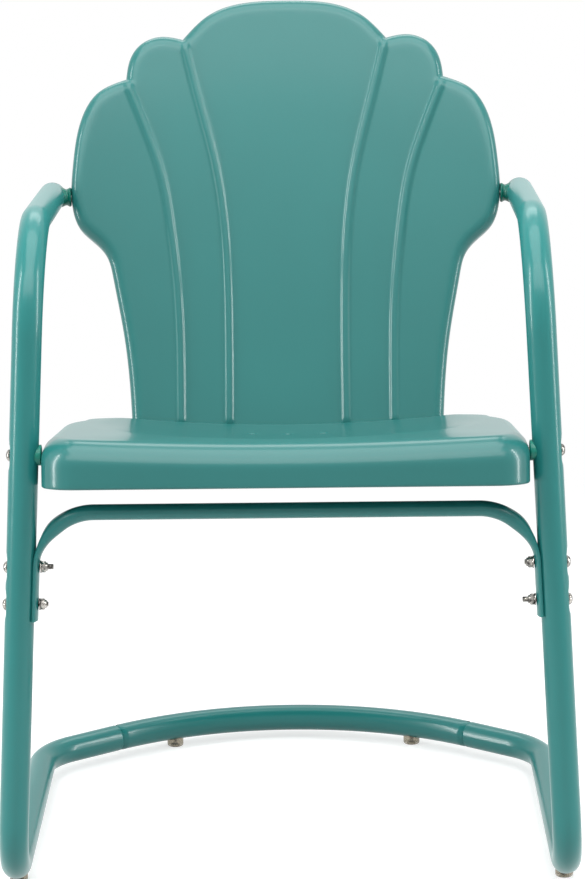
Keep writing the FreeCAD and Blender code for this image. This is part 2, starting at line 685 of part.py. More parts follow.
def brace():
    """The arched cross tube, flattened at its ends into strips that hug the legs."""
    radius = BRACE_OD / 2
    end_strap, leg_middle = strap()
    inward = V(-math.cos(SPLAY), 0, -math.sin(SPLAY))
    flat_middle = leg_middle + inward * (TUBE_R + FIT_GAP + STRAP_THICKNESS / 2)
    bend_centre = V(flat_middle.x - BRACE_BEND_R, 0, BRACE_HEIGHT - BRACE_BEND_R)

    def bend(angle_deg):
        angle = math.radians(angle_deg)
        return bend_centre + V(BRACE_BEND_R * math.sin(angle), 0, BRACE_BEND_R * math.cos(angle))

    turn = BRACE_ROUND_TURN_DEG
    right = [bend(0), bend(turn / 2), bend(turn)]
    left = [V(-p.x, 0, p.z) for p in right]
    path = [arc(left[2], left[1], left[0]), line(left[0], right[0]), arc(right[0], right[1], right[2])]
    tube = pipe(path, radius).cut(pipe(path, radius - BRACE_WALL))
    heading = V(math.cos(math.radians(turn)), 0, -math.sin(math.radians(turn)))
    ring = Part.Wire([Part.Circle(right[2], heading, radius).toShape()])
    flat = Part.Ellipse(flat_middle + Y_AXIS * (STRAP_WIDTH / 2), flat_middle + inward * (STRAP_THICKNESS / 2),
                        flat_middle)
    taper = Part.makeLoft([ring, Part.Wire([flat.toShape()])], True, True)
    end = end_strap.fuse(taper)
    whole = tube.fuse([end, mirrored(end)])
    for height in (BRACE_TOP_BOLT_HEIGHT, BRACE_LOW_BOLT_HEIGHT):
        hole = rod(V(leg_axis_x(height), 0, height), X_AXIS * -1, BOLT_HOLE_R, 2 * TUBE_R)
        whole = whole.cut(hole).cut(mirrored(hole))
    return whole


def leg_bolt_seat(height):
    return V(leg_axis_x(height) + TUBE_R - PRESS_DEPTH, 0, height)


def brace_washer_seat(height):
    """On the strap's inner face, far enough in for a level washer to clear the sloping strap."""
    reach = (TUBE_R + FIT_GAP + STRAP_THICKNESS) / math.cos(SPLAY) + WASHER_R * math.tan(SPLAY)
    return V(leg_axis_x(height) - reach - 3 * FIT_GAP, 0, height)


def brace_fasteners():
    bolts, washers, nuts = [], [], []
    inward = X_AXIS * -1
    for height in (BRACE_TOP_BOLT_HEIGHT, BRACE_LOW_BOLT_HEIGHT):
        head = leg_bolt_seat(height)
        seat = brace_washer_seat(height)
        nut_seat = seat + inward * WASHER_THICKNESS
        bolts.append(both_sides(bolt(head, inward, head.x - nut_seat.x + NUT_STACK)))
        washers.append(both_sides(washer(seat, inward)))
        nuts.append(both_sides(nut(nut_seat, inward)))
    return bolts, washers, nuts


def seat_fasteners():
    inward = X_AXIS * -1
    head = leg_bolt_seat(SEAT_BOLT_HEIGHT)
    nut_seat = V(SEAT_HALF_WIDTH - SHEET, 0, SEAT_BOLT_HEIGHT)
    return both_sides(bolt(head, inward, head.x - nut_seat.x + NUT_STACK)), both_sides(nut(nut_seat, inward))


def arm_fasteners():
    """Bolts from inside the back's flange into threaded inserts in the arms."""
    inner_face = ARM_BOLT.x - TUBE_R
    seat = V(BACK_HALF_WIDTH - SHEET - ARM_HEAD_GAP, ARM_BOLT.y, ARM_BOLT.z)
    saddle = TUBE_R - math.sqrt(TUBE_R ** 2 - (INSERT_R + FIT_GAP) ** 2)
    insert_start = V(inner_face + saddle + FIT_GAP, ARM_BOLT.y, ARM_BOLT.z)
    insert = rod(insert_start, X_AXIS, INSERT_R, INSERT_LENGTH)
    insert = insert.cut(rod(insert_start, X_AXIS, BOLT_R + FIT_GAP, INSERT_LENGTH))
    screw = bolt(seat, X_AXIS, insert_start.x + INSERT_LENGTH - seat.x)
    return both_sides(screw), both_sides(insert)


def back_fasteners():
    bolts, nuts = [], []
    grip = SHEET + SEAM_GAP + SHEET
    for angle_deg in back_bolt_angles():
        seat, inward = back_bolt_axis(angle_deg)
        bolts.append(bolt(seat, inward, grip + NUT_STACK))
        nuts.append(nut(seat + inward * (grip + FIT_GAP), inward))
    return bolts, nuts


def bar_screws():
    """Screws that pin the crossbar's tenons in the side tubes, from behind."""
    seat = bar_screw_seat()
    crown = seat + JOINT_OUTWARD * HEAD_HEIGHT
    head = rod(seat, JOINT_OUTWARD, HEAD_R, HEAD_HEIGHT).cut(rod(crown, JOINT_OUTWARD * -1, SOCKET_R, SOCKET_DEPTH))
    shank = rod(seat, JOINT_OUTWARD * -1, BOLT_R - FIT_GAP, BAR_SCREW_SHANK)
    return both_sides(head.fuse(shank))


def group(shapes):
    return Part.makeCompound([solid for shape in shapes for solid in shape.Solids])


def build_nodes():
    """Every node of the chair by name, before the origin is set."""
    nodes = {}
    clear_r = TUBE_R + FIT_GAP
    clear_tube = pipe(side_tube_path(), clear_r)
    upper, runner = part_at_flex(side_tube())
    spacer_seat = seat_spacer(clear_tube)
    spacer_arm = arm_spacer(clear_tube)
    plug = arm_plug()
    foot_x = side_point(0, BASE_S).x
    front_foot = foot(foot_x, FRONT_FOOT_Y, rod(V(foot_x, 0, BASE_Z), Y_AXIS, clear_r, 2 * FRONT_FOOT_Y))
    rear_foot = foot(REAR_FOOT_X, rear_foot_y(), pipe([bar_arc()], clear_r))
    handed = {
        "leg_and_arm_tube": upper, "base_runner_tube": runner, "seat_spacer": spacer_seat,
        "arm_spacer": spacer_arm, "arm_end_plug": plug, "front_foot": front_foot, "rear_foot": rear_foot,
    }
    for name, shape in handed.items():
        for side, hand in SIDES.items():
            nodes[side + "_" + name] = shape if hand == RIGHT else mirrored(shape)
    nodes["rear_crossbar"] = crossbar()
    nodes["crossbar_screws"] = bar_screws()
    nodes["foot_screws"] = group([
        both_sides(foot_screw(foot_x, FRONT_FOOT_Y)), both_sides(foot_screw(REAR_FOOT_X, rear_foot_y())),
    ])
    nodes["seat_brace"] = brace()
    nodes["seat_pan"] = seat_pan()
    nodes["back_shell"] = back_shell()
    nodes["seat_bolts"], nodes["seat_nuts"] = seat_fasteners()
    nodes["arm_bolts"], nodes["arm_inserts"] = arm_fasteners()
    bolts, washers, nuts = brace_fasteners()
    nodes["brace_bolts"] = group(bolts)
    nodes["brace_washers"] = group(washers)
    nodes["brace_nuts"] = group(nuts)
    bolts, nuts = back_fasteners()
    nodes["back_bolts"] = group(bolts)
    nodes["back_nuts"] = group(nuts)
    return nodes


def place_on_origin(nodes):
    """Slides every node along Y so that the origin is under the middle of the chair's box."""
    box = Part.makeCompound(list(nodes.values())).optimalBoundingBox(False, False)
    shift = -(box.YMin + box.YMax) / 2
    for shape in nodes.values():
        shape.translate(Y_AXIS * shift)
    return shift, box


def main():
    os.makedirs("parts", exist_ok=True)
    nodes = build_nodes()
    shift, box = place_on_origin(nodes)
    for name, shape in nodes.items():
        shape.exportStep("parts/" + name + ".step")
    print("front legs at y = %.3f" % shift)
    print("box %.1f x %.1f x %.1f, lowest %.3f" % (box.XLength, box.YLength, box.ZLength, box.ZMin))
    print("flex axis at y = %.3f, z = %.3f" % (FLEX_POINT.y + shift, FLEX_POINT.z))
    print("%d nodes, %d solids" % (len(nodes), sum(len(shape.Solids) for shape in nodes.values())))
    for name, shape in nodes.items():
        print("%-26s %d solids, valid %s, %.1f cm3" % (name, len(shape.Solids), shape.isValid(), shape.Volume / 1000))


main()
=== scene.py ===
"""A porch chair of painted steel: two bent side tubes, a dished seat pan and a scalloped, beaded back.

Sizes are in millimetres, drawn with the front legs at y = 0 and the floor at z = 0. A Bench turns them into
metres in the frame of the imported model.
"""

import logging
import math
from dataclasses import dataclass
from enum import Enum
from typing import Callable, Sequence

import bmesh
import bpy
import numpy as np
from mathutils import Matrix, Vector
from mathutils.geometry import delaunay_2d_cdt


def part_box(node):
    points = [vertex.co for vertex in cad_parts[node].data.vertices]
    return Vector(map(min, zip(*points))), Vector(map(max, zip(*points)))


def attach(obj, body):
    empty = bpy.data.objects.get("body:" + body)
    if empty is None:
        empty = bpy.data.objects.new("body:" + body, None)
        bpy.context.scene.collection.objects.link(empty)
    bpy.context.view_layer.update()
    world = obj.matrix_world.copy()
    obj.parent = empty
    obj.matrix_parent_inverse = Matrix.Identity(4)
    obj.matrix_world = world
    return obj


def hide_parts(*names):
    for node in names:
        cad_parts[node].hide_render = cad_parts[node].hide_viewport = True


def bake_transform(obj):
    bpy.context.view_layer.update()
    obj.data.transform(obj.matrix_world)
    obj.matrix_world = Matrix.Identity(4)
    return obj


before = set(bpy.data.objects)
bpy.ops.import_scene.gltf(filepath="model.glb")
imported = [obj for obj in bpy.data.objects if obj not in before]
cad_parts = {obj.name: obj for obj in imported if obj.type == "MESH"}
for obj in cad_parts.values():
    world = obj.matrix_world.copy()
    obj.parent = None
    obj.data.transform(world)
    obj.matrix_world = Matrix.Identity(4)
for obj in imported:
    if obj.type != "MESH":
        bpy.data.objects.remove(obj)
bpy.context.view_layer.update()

LOG = logging.getLogger("lawn_chair")
MM = 0.001
UP = Vector((0, 0, 1))
OUT = Vector((1, 0, 0))
WHITE = (1, 1, 1, 1)
CREASE = 38.0
FASTENER_CREASE = 32.0
NEARLY_UP = Vector((0.02, 0.03, 1))

Color = tuple[float, float, float]
Spot = tuple[float, float, float]
Pairs = Sequence[tuple[float, float]]
Shape = tuple[np.ndarray, list[tuple[int, ...]]]
Seat = tuple[Vector, Vector]


class Body(Enum):
    """The two bodies that move against each other when the chair springs."""

    BASE = "base"
    SEAT = "seat_frame"


class Hand(Enum):
    """The sides of the chair, as the sign of x."""

    RIGHT = 1
    LEFT = -1

    @property
    def side(self) -> str:
        """The side's name."""
        return self.name.lower()


class Slot(Enum):
    """The record's material slots."""

    FRAME_PAINT = "frame_paint"
    PANEL_PAINT = "panel_paint"
    SEAT_SPACER = "spacer_green"
    ARM_SPACER = "spacer_dark"
    PLUG = "plug"
    GLIDE = "glide"
    ZINC = "zinc"


@dataclass(frozen=True)
class Layout:
    """The chair's main lines, from which every piece takes its place.

    The side tubes lie in planes that lean towards the middle of the chair by the splay.
    """

    tube_radius: float = 15.0
    floor_half_width: float = 288.0
    splay: float = math.radians(3.2)
    axis_height: float = 23.0
    arm_end_y: float = 394.0
    arm_end_height: float = 676.0
    arm_rise: float = math.radians(4.0)
    arm_flare: float = math.radians(1.1)
    arm_bolt_inset: float = 17.0
    seat_front_y: float = -45.0
    seat_front_height: float = 500.0
    seat_slope: float = math.radians(8.7)
    seat_side_gap: float = 3.2
    seat_bolt_height: float = 475.4
    brace_bolt_heights: tuple[float, float] = (360.0, 321.0)
    recline: float = math.radians(17.2)
    back_curve: float = 700.0
    arm_side_gap: float = 7.0
    arm_bolt_depth: float = 16.0
    bar_radius: float = 336.0
    bar_half_angle: float = math.radians(38.0)
    base_depth: float = 540.0
    front_foot_y: float = 68.0
    rear_foot_x: float = 140.0
    sheet: float = 1.2

    def plane_point(self, y: float, up: float) -> Vector:
        """A point of the right side tube's plane, up being measured along the plane from the floor."""
        return Vector((self.floor_half_width - up * math.sin(self.splay), y, up * math.cos(self.splay)))

    def leg_x(self, height: float) -> float:
        """The right leg's middle line at a height."""
        return self.floor_half_width - height * math.tan(self.splay)

    def arm_up(self, y: float) -> float:
        """How far up the leaning plane the arm's middle line lies at a depth."""
        return self.arm_end_height / math.cos(self.splay) + (self.arm_end_y - y) * math.tan(self.arm_rise)

    @property
    def arm_end(self) -> Vector:
        """The middle of the right arm's rear end, which spreads out a little."""
        spread = self.arm_end_y * math.tan(self.arm_flare)
        return self.plane_point(self.arm_end_y, self.arm_up(self.arm_end_y)) + OUT * spread

    @property
    def arm_heading(self) -> Vector:
        """The way the right arm runs, from its rear end to the front."""
        return (self.plane_point(0, self.arm_up(0)) - self.arm_end).normalized()

    @property
    def arm_bolt(self) -> Vector:
        """Where the bolt between back and right arm crosses the arm's middle line."""
        return self.arm_end + self.arm_heading * self.arm_bolt_inset

    @property
    def floor_corner(self) -> Vector:
        """Where the right leg's and the right runner's middle lines meet."""
        return self.plane_point(0, self.axis_height / math.cos(self.splay))

    @property
    def back_half_width(self) -> float:
        """Half the back's greatest width."""
        return self.arm_bolt.x - self.tube_radius - self.arm_side_gap

    @property
    def seat_half_width(self) -> float:
        """Half the seat pan's width."""
        return self.leg_x(self.seat_bolt_height) - self.tube_radius - self.seat_side_gap

    @property
    def back_frame(self) -> Matrix:
        """The back's own frame: x across, y out of its rear, z up along it from the arm bolts."""
        turn = Matrix.Rotation(-self.recline, 4, "X")
        sag = self.back_curve - math.sqrt(self.back_curve**2 - self.back_half_width**2)
        reach = Vector((0, sag - self.arm_bolt_depth, 0))
        origin = Vector((0, self.arm_bolt.y, self.arm_bolt.z)) + turn @ reach
        return Matrix.Translation(origin) @ turn

    @property
    def seat_frame(self) -> Matrix:
        """The pan's own frame: x across, y back from its front edge, z out of its top."""
        origin = Vector((0, self.seat_front_y, self.seat_front_height))
        return Matrix.Translation(origin) @ Matrix.Rotation(-self.seat_slope, 4, "X")

    @property
    def junction(self) -> float:
        """How far below the arm bolts, along the back, the pan's top plane meets it."""
        up_seat = self.seat_frame.to_3x3() @ UP
        up_back = self.back_frame.to_3x3() @ UP
        drop = self.back_frame.translation - self.seat_frame.translation
        return drop.dot(up_seat) / up_back.dot(up_seat)

    def bar_point(self, angle: float) -> Vector:
        """A point of the rear crossbar's middle line, by its angle from the chair's middle."""
        y = self.base_depth - self.bar_radius * (1 - math.cos(angle))
        return Vector((self.bar_radius * math.sin(angle), y, self.axis_height))


LAYOUT = Layout()


class Wiring:
    """A node tree that is wired by short calls."""

    def __init__(self, tree: bpy.types.NodeTree) -> None:
        """Takes a tree in hand."""
        self.tree = tree

    def link(self, source: bpy.types.Node | bpy.types.NodeSocket, target: bpy.types.NodeSocket) -> None:
        """Feeds a socket from another one, or from a node's first output."""
        self.tree.links.new(source.outputs[0] if isinstance(source, bpy.types.Node) else source, target)

    def node(
        self, kind: str, links: dict | None = None, values: dict | None = None, **settings
    ) -> bpy.types.Node:
        """Adds a node.

        Args:
            kind: The node's type.
            links: Sockets, or nodes, to feed its inputs from, by name or number.
            values: Constants of its inputs, by name or number.
            **settings: Properties of the node, such as its mode.

        Returns:
            The node.
        """
        node = self.tree.nodes.new(kind)
        for name, value in settings.items():
            setattr(node, name, value)
        for name, value in (values or {}).items():
            node.inputs[name].default_value = value
        for name, source in (links or {}).items():
            self.link(source, node.inputs[name])
        return node

    def math(self, operation: str, *terms) -> bpy.types.NodeSocket:
        """Works out one sum on sockets, nodes or numbers."""
        numbers = {i: term for i, term in enumerate(terms) if isinstance(term, (int, float))}
        sources = {i: term for i, term in enumerate(terms) if i not in numbers}
        return self.node("ShaderNodeMath", sources, numbers, operation=operation).outputs[0]


class Shade(Wiring):
    """A material on a Principled surface, its textures read in object space."""

    def __init__(self, name: str, **constants: float) -> None:
        """Starts the material.

        Args:
            name: The material's name.
            **constants: Sockets of the surface, spaces in their names written as underscores.
        """
        self.material = bpy.data.materials.new(name)
        self.material.use_nodes = True
        super().__init__(self.material.node_tree)
        self.surface = self.tree.nodes["Principled BSDF"]
        self.place = self.node("ShaderNodeTexCoord").outputs["Object"]
        for socket, value in constants.items():
            self.surface.inputs[socket.replace("_", " ")].default_value = value

    def noise(self, scale: float, detail: float = 2.0, stretch: Color = (1, 1, 1)) -> bpy.types.NodeSocket:
        """A grey noise.

        Args:
            scale: Features per metre.
            detail: Octaves on top of the first.
            stretch: How much finer the noise is along each axis.

        Returns:
            The noise's value socket.
        """
        mapping = self.node("ShaderNodeMapping", {"Vector": self.place}, {"Scale": stretch})
        levels = {"Scale": scale, "Detail": detail}
        return self.node("ShaderNodeTexNoise", {"Vector": mapping}, levels).outputs["Fac"]

    def paint(self, value: bpy.types.NodeSocket, color: Color, *stops: tuple[float, float]) -> None:
        """Colours the surface by a value, lighter or darker by a factor at each stop."""
        ramp = self.node("ShaderNodeValToRGB", {"Fac": value})
        elements = ramp.color_ramp.elements
        while len(elements) < len(stops):
            elements.new(0.5)
        for element, (position, factor) in zip(elements, stops):
            element.position = position
            element.color = (*(min(1.0, channel * factor) for channel in color), 1)
        self.link(ramp, self.surface.inputs["Base Color"])

    def roughen(self, value: bpy.types.NodeSocket, low: float, high: float) -> None:
        """Spreads the roughness over the middle of a noise, without a limit."""
        levels = {"From Min": 0.3, "From Max": 0.7, "To Min": low, "To Max": high}
        spread = self.node("ShaderNodeMapRange", {"Value": value}, levels, clamp=False)
        self.link(spread.outputs["Result"], self.surface.inputs["Roughness"])

    def press(self, height: bpy.types.NodeSocket, depth: float) -> None:
        """Presses a height, of a depth in metres, into the surface's normal."""
        bump = self.node("ShaderNodeBump", {"Height": height}, {"Distance": depth, "Strength": 1.0})
        self.link(bump.outputs["Normal"], self.surface.inputs["Normal"])


@dataclass(frozen=True)
class PowderCoat:
    """Satin powder coat on steel, with its fine orange peel and slightly uneven tone."""

    name: str
    color: Color
    peel: float = 0.00003
    tone: float = 0.05

    def material(self) -> bpy.types.Material:
        """Builds the material."""
        shade = Shade(self.name, Roughness=0.29, IOR=1.38, Coat_Weight=0.18, Coat_Roughness=0.1)
        shade.paint(shade.noise(7.0, 3.0), self.color, (0.1, 1 - self.tone), (0.9, 1 + self.tone))
        shade.press(shade.noise(320.0), self.peel)
        return shade.material


@dataclass(frozen=True)
class MouldedPlastic:
    """Coloured plastic from a mould, with a faint flow grain."""

    name: str
    color: Color
    roughness: float = 0.3
    grain: float = 0.00004

    def material(self) -> bpy.types.Material:
        """Builds the material."""
        shade = Shade(self.name, IOR=1.4, Subsurface_Weight=0.08, Subsurface_Scale=0.004)
        shade.paint(shade.noise(90.0, 3.0), self.color, (0.3, 0.9), (0.7, 1.08))
        shade.roughen(shade.noise(260.0), self.roughness - 0.05, self.roughness + 0.07)
        shade.press(shade.noise(900.0, 3.0), self.grain)
        return shade.material


@dataclass(frozen=True)
class ClearPlastic:
    """Smoky translucent plastic, a little cloudy."""

    name: str
    color: Color
    transmission: float = 0.72
    roughness: float = 0.22
    grain: float = 0.00004

    def material(self) -> bpy.types.Material:
        """Builds the material."""
        shade = Shade(self.name, IOR=1.46, Transmission_Weight=self.transmission)
        shade.paint(shade.noise(160.0, 3.0), self.color, (0.3, 0.88), (0.7, 1.06))
        shade.roughen(shade.noise(300.0), self.roughness - 0.06, self.roughness + 0.08)
        shade.press(shade.noise(700.0), self.grain)
        return shade.material


@dataclass(frozen=True)
class PlatedSteel:
    """Zinc-plated steel with fine turning marks round the fastener's axis and blotches of painted reflection.
    """

    name: str
    color: Color
    roughness: float = 0.2
    mark_depth: float = 0.00003

    def material(self) -> bpy.types.Material:
        """Builds the material."""
        shade = Shade(self.name, Metallic=1.0, IOR=2.0)
        # dark and bright blotches from 0.15 to 1.9 times the zinc's colour, at random places: painted
        # reflection
        shade.paint(shade.noise(240.0, 4.0), self.color, (0.35, 0.15), (0.5, 1.0), (0.65, 1.9))
        marks = shade.noise(900.0, 2.0, (6.0, 1.0, 1.0))
        shade.roughen(marks, self.roughness - 0.08, self.roughness + 0.12)
        shade.press(marks, self.mark_depth)
        return shade.material


FINISHES = {
    Slot.FRAME_PAINT: PowderCoat("frame_coat", (0.014, 0.172, 0.163)),
    # the seat and back take the frame's teal made darker: painted shade on the sheet parts
    Slot.PANEL_PAINT: PowderCoat("panel_coat", (0.018, 0.142, 0.134), peel=0.00002),
    Slot.SEAT_SPACER: MouldedPlastic("green_plastic", (0.002, 0.180, 0.132)),
    Slot.ARM_SPACER: MouldedPlastic("dark_teal_plastic", (0.002, 0.115, 0.085)),
    Slot.PLUG: MouldedPlastic("plug_plastic", (0.045, 0.180, 0.165), roughness=0.42),
    Slot.GLIDE: ClearPlastic("smoky_plastic", (0.42, 0.37, 0.28)),
    Slot.ZINC: PlatedSteel("zinc_plate", (0.28, 0.27, 0.25)),
}


def link_object(name: str, data: bpy.types.ID) -> bpy.types.Object:
    """An object in the scene, at the origin."""
    thing = bpy.data.objects.new(name, data)
    bpy.context.scene.collection.objects.link(thing)
    return thing


class Bench:
    """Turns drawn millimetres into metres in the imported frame, and sets pieces on their bodies."""

    def __init__(self) -> None:
        """Finds the front legs in the frame and mixes the finishes."""
        low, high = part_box("right_seat_spacer")
        self.legs_y = (low.y + high.y) / 2
        self.palette = {slot: finish.material() for slot, finish in FINISHES.items()}

    def metres(self, points: Sequence) -> np.ndarray:
        """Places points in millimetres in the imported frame."""
        return np.asarray(points, float) * MM + np.array((0, self.legs_y, 0))

    def mesh(self, name: str, shape: Shape) -> bpy.types.Mesh:
        """A placed mesh of a shape in millimetres, its doubles merged and its faces turned outwards."""
        mesh = bpy.data.meshes.new(name)
        mesh.from_pydata(self.metres(shape[0]).tolist(), [], shape[1])
        return tidied(mesh)

    def dress(self, mesh: bpy.types.Mesh, slot: Slot) -> None:
        """Gives a mesh the finish of a slot."""
        mesh.materials.clear()
        mesh.materials.append(self.palette[slot])

    def piece(
        self, name: str, mesh: bpy.types.Mesh, slot: Slot, replaced: Sequence[str], body: Body | None = None
    ) -> bpy.types.Object:
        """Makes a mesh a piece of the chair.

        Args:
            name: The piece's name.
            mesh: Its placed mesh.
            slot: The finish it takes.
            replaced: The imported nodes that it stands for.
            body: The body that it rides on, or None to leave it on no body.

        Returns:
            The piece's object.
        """
        piece = link_object(name, mesh)
        self.dress(mesh, slot)
        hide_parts(*replaced)
        if body is not None:
            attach(piece, body.value)
        mesh.calc_loop_triangles()
        LOG.info("%s: %d triangles, stands for %s", name, len(mesh.loop_triangles), ", ".join(replaced))
        return piece


def shaded(mesh: bpy.types.Mesh, crease: float) -> bpy.types.Mesh:
    """Shades all but the creases of a mesh smooth, by their angle in degrees."""
    mesh.shade_smooth()
    mesh.set_sharp_from_angle(angle=math.radians(crease))
    return mesh


def tidied(mesh: bpy.types.Mesh, weld: float = 1e-6) -> bpy.types.Mesh:
    """Merges doubles, turns faces outwards and shades all but the creases smooth."""
    work = bmesh.new()
    work.from_mesh(mesh)
    bmesh.ops.remove_doubles(work, verts=work.verts, dist=weld)
    bmesh.ops.dissolve_degenerate(work, edges=work.edges, dist=weld)
    bmesh.ops.recalc_face_normals(work, faces=work.faces)
    work.to_mesh(mesh)
    work.free()
    return shaded(mesh, CREASE)


def mark(mesh: bpy.types.Mesh, name: str, kind: str, values: Sequence) -> None:
    """Writes a named value on every point of a mesh."""
    layer = mesh.attributes.new(name, kind, "POINT")
    layer.data.foreach_set("vector" if kind == "FLOAT_VECTOR" else "value", values)


def strip_faces(first: int, second: int, count: int) -> list[tuple[int, ...]]:
    """The quads between two closed rows of corners that start at first and at second."""
    return [(first + i, first + (i + 1) % count, second + (i + 1) % count, second + i) for i in range(count)]


def lofted(rings: Sequence[np.ndarray], caps: Sequence[int] = ()) -> Shape:
    """Joins closed rings of equally many points.

    Args:
        rings: The rings in order.
        caps: The numbers of the rings that a face closes.

    Returns:
        The points and the faces.
    """
    count = len(rings[0])
    faces: list[tuple[int, ...]] = []
    for i in range(len(rings) - 1):
        faces += strip_faces(i * count, (i + 1) * count, count)
    faces += [tuple(range(i * count, (i + 1) * count)) for i in caps]
    return np.concatenate(rings), faces


def once_round(sides: int) -> np.ndarray:
    """Even angles once round."""
    return np.arange(sides) * (2 * math.pi / sides)


def circle(radius: float | np.ndarray, sides: int) -> np.ndarray:
    """Plan points once round the origin."""
    angles = once_round(sides)
    return np.stack((radius * np.cos(angles), radius * np.sin(angles)), axis=1)


def smooth(value: np.ndarray | float) -> np.ndarray:
    """A soft step from 0 to 1."""
    t = np.clip(value, 0.0, 1.0)
    return t * t * (3 - 2 * t)


def running(path: np.ndarray) -> np.ndarray:
    """The length run along a polyline at each of its points."""
    return np.concatenate(([0.0], np.cumsum(np.linalg.norm(np.diff(path, axis=0), axis=1))))


def rightward(path: np.ndarray) -> np.ndarray:
    """Unit vectors to the right of a plan path, at each of its points."""
    along = np.gradient(path, axis=0)
    along /= np.linalg.norm(along, axis=1)[:, None]
    return np.stack((along[:, 1], -along[:, 0]), axis=1)


def resampled(points: np.ndarray, step: float) -> np.ndarray:
    """Points at an even step along a polyline."""
    run = running(points)
    at = np.linspace(0.0, run[-1], max(2, int(round(run[-1] / step))) + 1)
    return np.stack([np.interp(at, run, points[:, k]) for k in range(points.shape[1])], axis=1)


def spline(points: Pairs, step: float = 2.5, reads: int = 40) -> np.ndarray:
    """A natural cubic spline through plan points.

    Args:
        points: The points that it passes through.
        step: How far apart the result's points lie.
        reads: How often each piece of it is read first.

    Returns:
        Its points at an even step.
    """
    nodes = np.array(points, float)
    gap = np.diff(running(nodes))
    count = len(nodes)
    system = np.eye(count)
    right = np.zeros_like(nodes)
    for i in range(1, count - 1):
        system[i, i - 1 : i + 2] = gap[i - 1], 2 * (gap[i - 1] + gap[i]), gap[i]
        right[i] = 6 * ((nodes[i + 1] - nodes[i]) / gap[i] - (nodes[i] - nodes[i - 1]) / gap[i - 1])
    bend = np.linalg.solve(system, right)
    fine = []
    for i in range(count - 1):
        t = np.linspace(0, gap[i], reads, endpoint=i == count - 2)[:, None]
        rest = gap[i] - t
        fine.append(
            bend[i] * rest**3 / (6 * gap[i]) + bend[i + 1] * t**3 / (6 * gap[i])
            + (nodes[i] / gap[i] - bend[i] * gap[i] / 6) * rest
            + (nodes[i + 1] / gap[i] - bend[i + 1] * gap[i] / 6) * t
        )
    return resampled(np.concatenate(fine), step)


class NodeWork(Wiring):
    """A Geometry Nodes tree with named inputs, which ends in Realize Instances and Set Material."""

    def __init__(self, name: str) -> None:
        """Starts a tree that takes a mesh and a finish."""
        super().__init__(bpy.data.node_groups.new(name, "GeometryNodeTree"))
        self.tree.is_modifier = True
        self.keys: dict[str, str] = {}
        self.tree.interface.new_socket("Geometry", in_out="OUTPUT", socket_type="NodeSocketGeometry")
        self.source = self.tree.nodes.new("NodeGroupInput")
        self.result = self.tree.nodes.new("NodeGroupOutput")
        self.geometry = self.size("Geometry", "Geometry")
        self.finish = self.size("Finish", "Material")

    def size(self, label: str, kind: str = "Float") -> bpy.types.NodeSocket:
        """Adds a named input; returns its socket inside the tree."""
        item = self.tree.interface.new_socket(label, in_out="INPUT", socket_type="NodeSocket" + kind)
        self.keys[label] = item.identifier
        return next(s for s in self.source.outputs if s.identifier == item.identifier)

    def attribute(self, name: str, kind: str = "FLOAT") -> bpy.types.NodeSocket:
        """Reads a named attribute."""
        node = self.node("GeometryNodeInputNamedAttribute", values={"Name": name}, data_type=kind)
        return node.outputs["Attribute"]

    def close(self, geometry: bpy.types.Node) -> "NodeWork":
        """Ends the tree on a node's geometry."""
        whole = self.node("GeometryNodeRealizeInstances", {"Geometry": geometry})
        painted = self.node("GeometryNodeSetMaterial", {"Geometry": whole, "Material": self.finish})
        self.link(painted, self.result.inputs["Geometry"])
        return self

    def grow(self, mesh: bpy.types.Mesh, finish: bpy.types.Material, **sizes) -> bpy.types.Mesh:
        """Runs the tree on a mesh.

        Args:
            mesh: What the tree starts from.
            finish: The material it sets.
            **sizes: The tree's inputs, spaces in their names written as underscores.

        Returns:
            The result as a plain mesh.
        """
        holder = link_object(mesh.name, mesh)
        modifier = holder.modifiers.new("build", "NODES")
        modifier.node_group = self.tree
        for label, value in {"Finish": finish, **sizes}.items():
            modifier[self.keys[label.replace("_", " ")]] = value
        bpy.context.view_layer.update()
        graph = bpy.context.evaluated_depsgraph_get()
        plain = bpy.data.meshes.new_from_object(holder.evaluated_get(graph), depsgraph=graph)
        holder.modifiers.remove(modifier)
        bpy.data.objects.remove(holder)
        return plain


def bent_tube_tree() -> NodeWork:
    """A tube along a polygon whose corners are bent to their own radii."""
    tree = NodeWork("bent_tube")
    radius = tree.size("Tube Radius")
    sides = tree.size("Sides", "Int")
    bends = {
        "Curve": tree.node("GeometryNodeMeshToCurve", {"Mesh": tree.geometry}),
        "Count": tree.attribute("bend_steps", "INT"),
        "Radius": tree.attribute("bend_radius"),
    }
    line = tree.node("GeometryNodeFilletCurve", bends, mode="POLY")
    ring = tree.node("GeometryNodeCurvePrimitiveCircle", {"Resolution": sides, "Radius": radius})
    sweep = {"Curve": line, "Profile Curve": ring, "Scale": tree.attribute("girth")}
    tube = tree.node("GeometryNodeCurveToMesh", sweep, {"Fill Caps": True})
    return tree.close(tree.node("GeometryNodeSetShadeSmooth", {"Geometry": tube}))


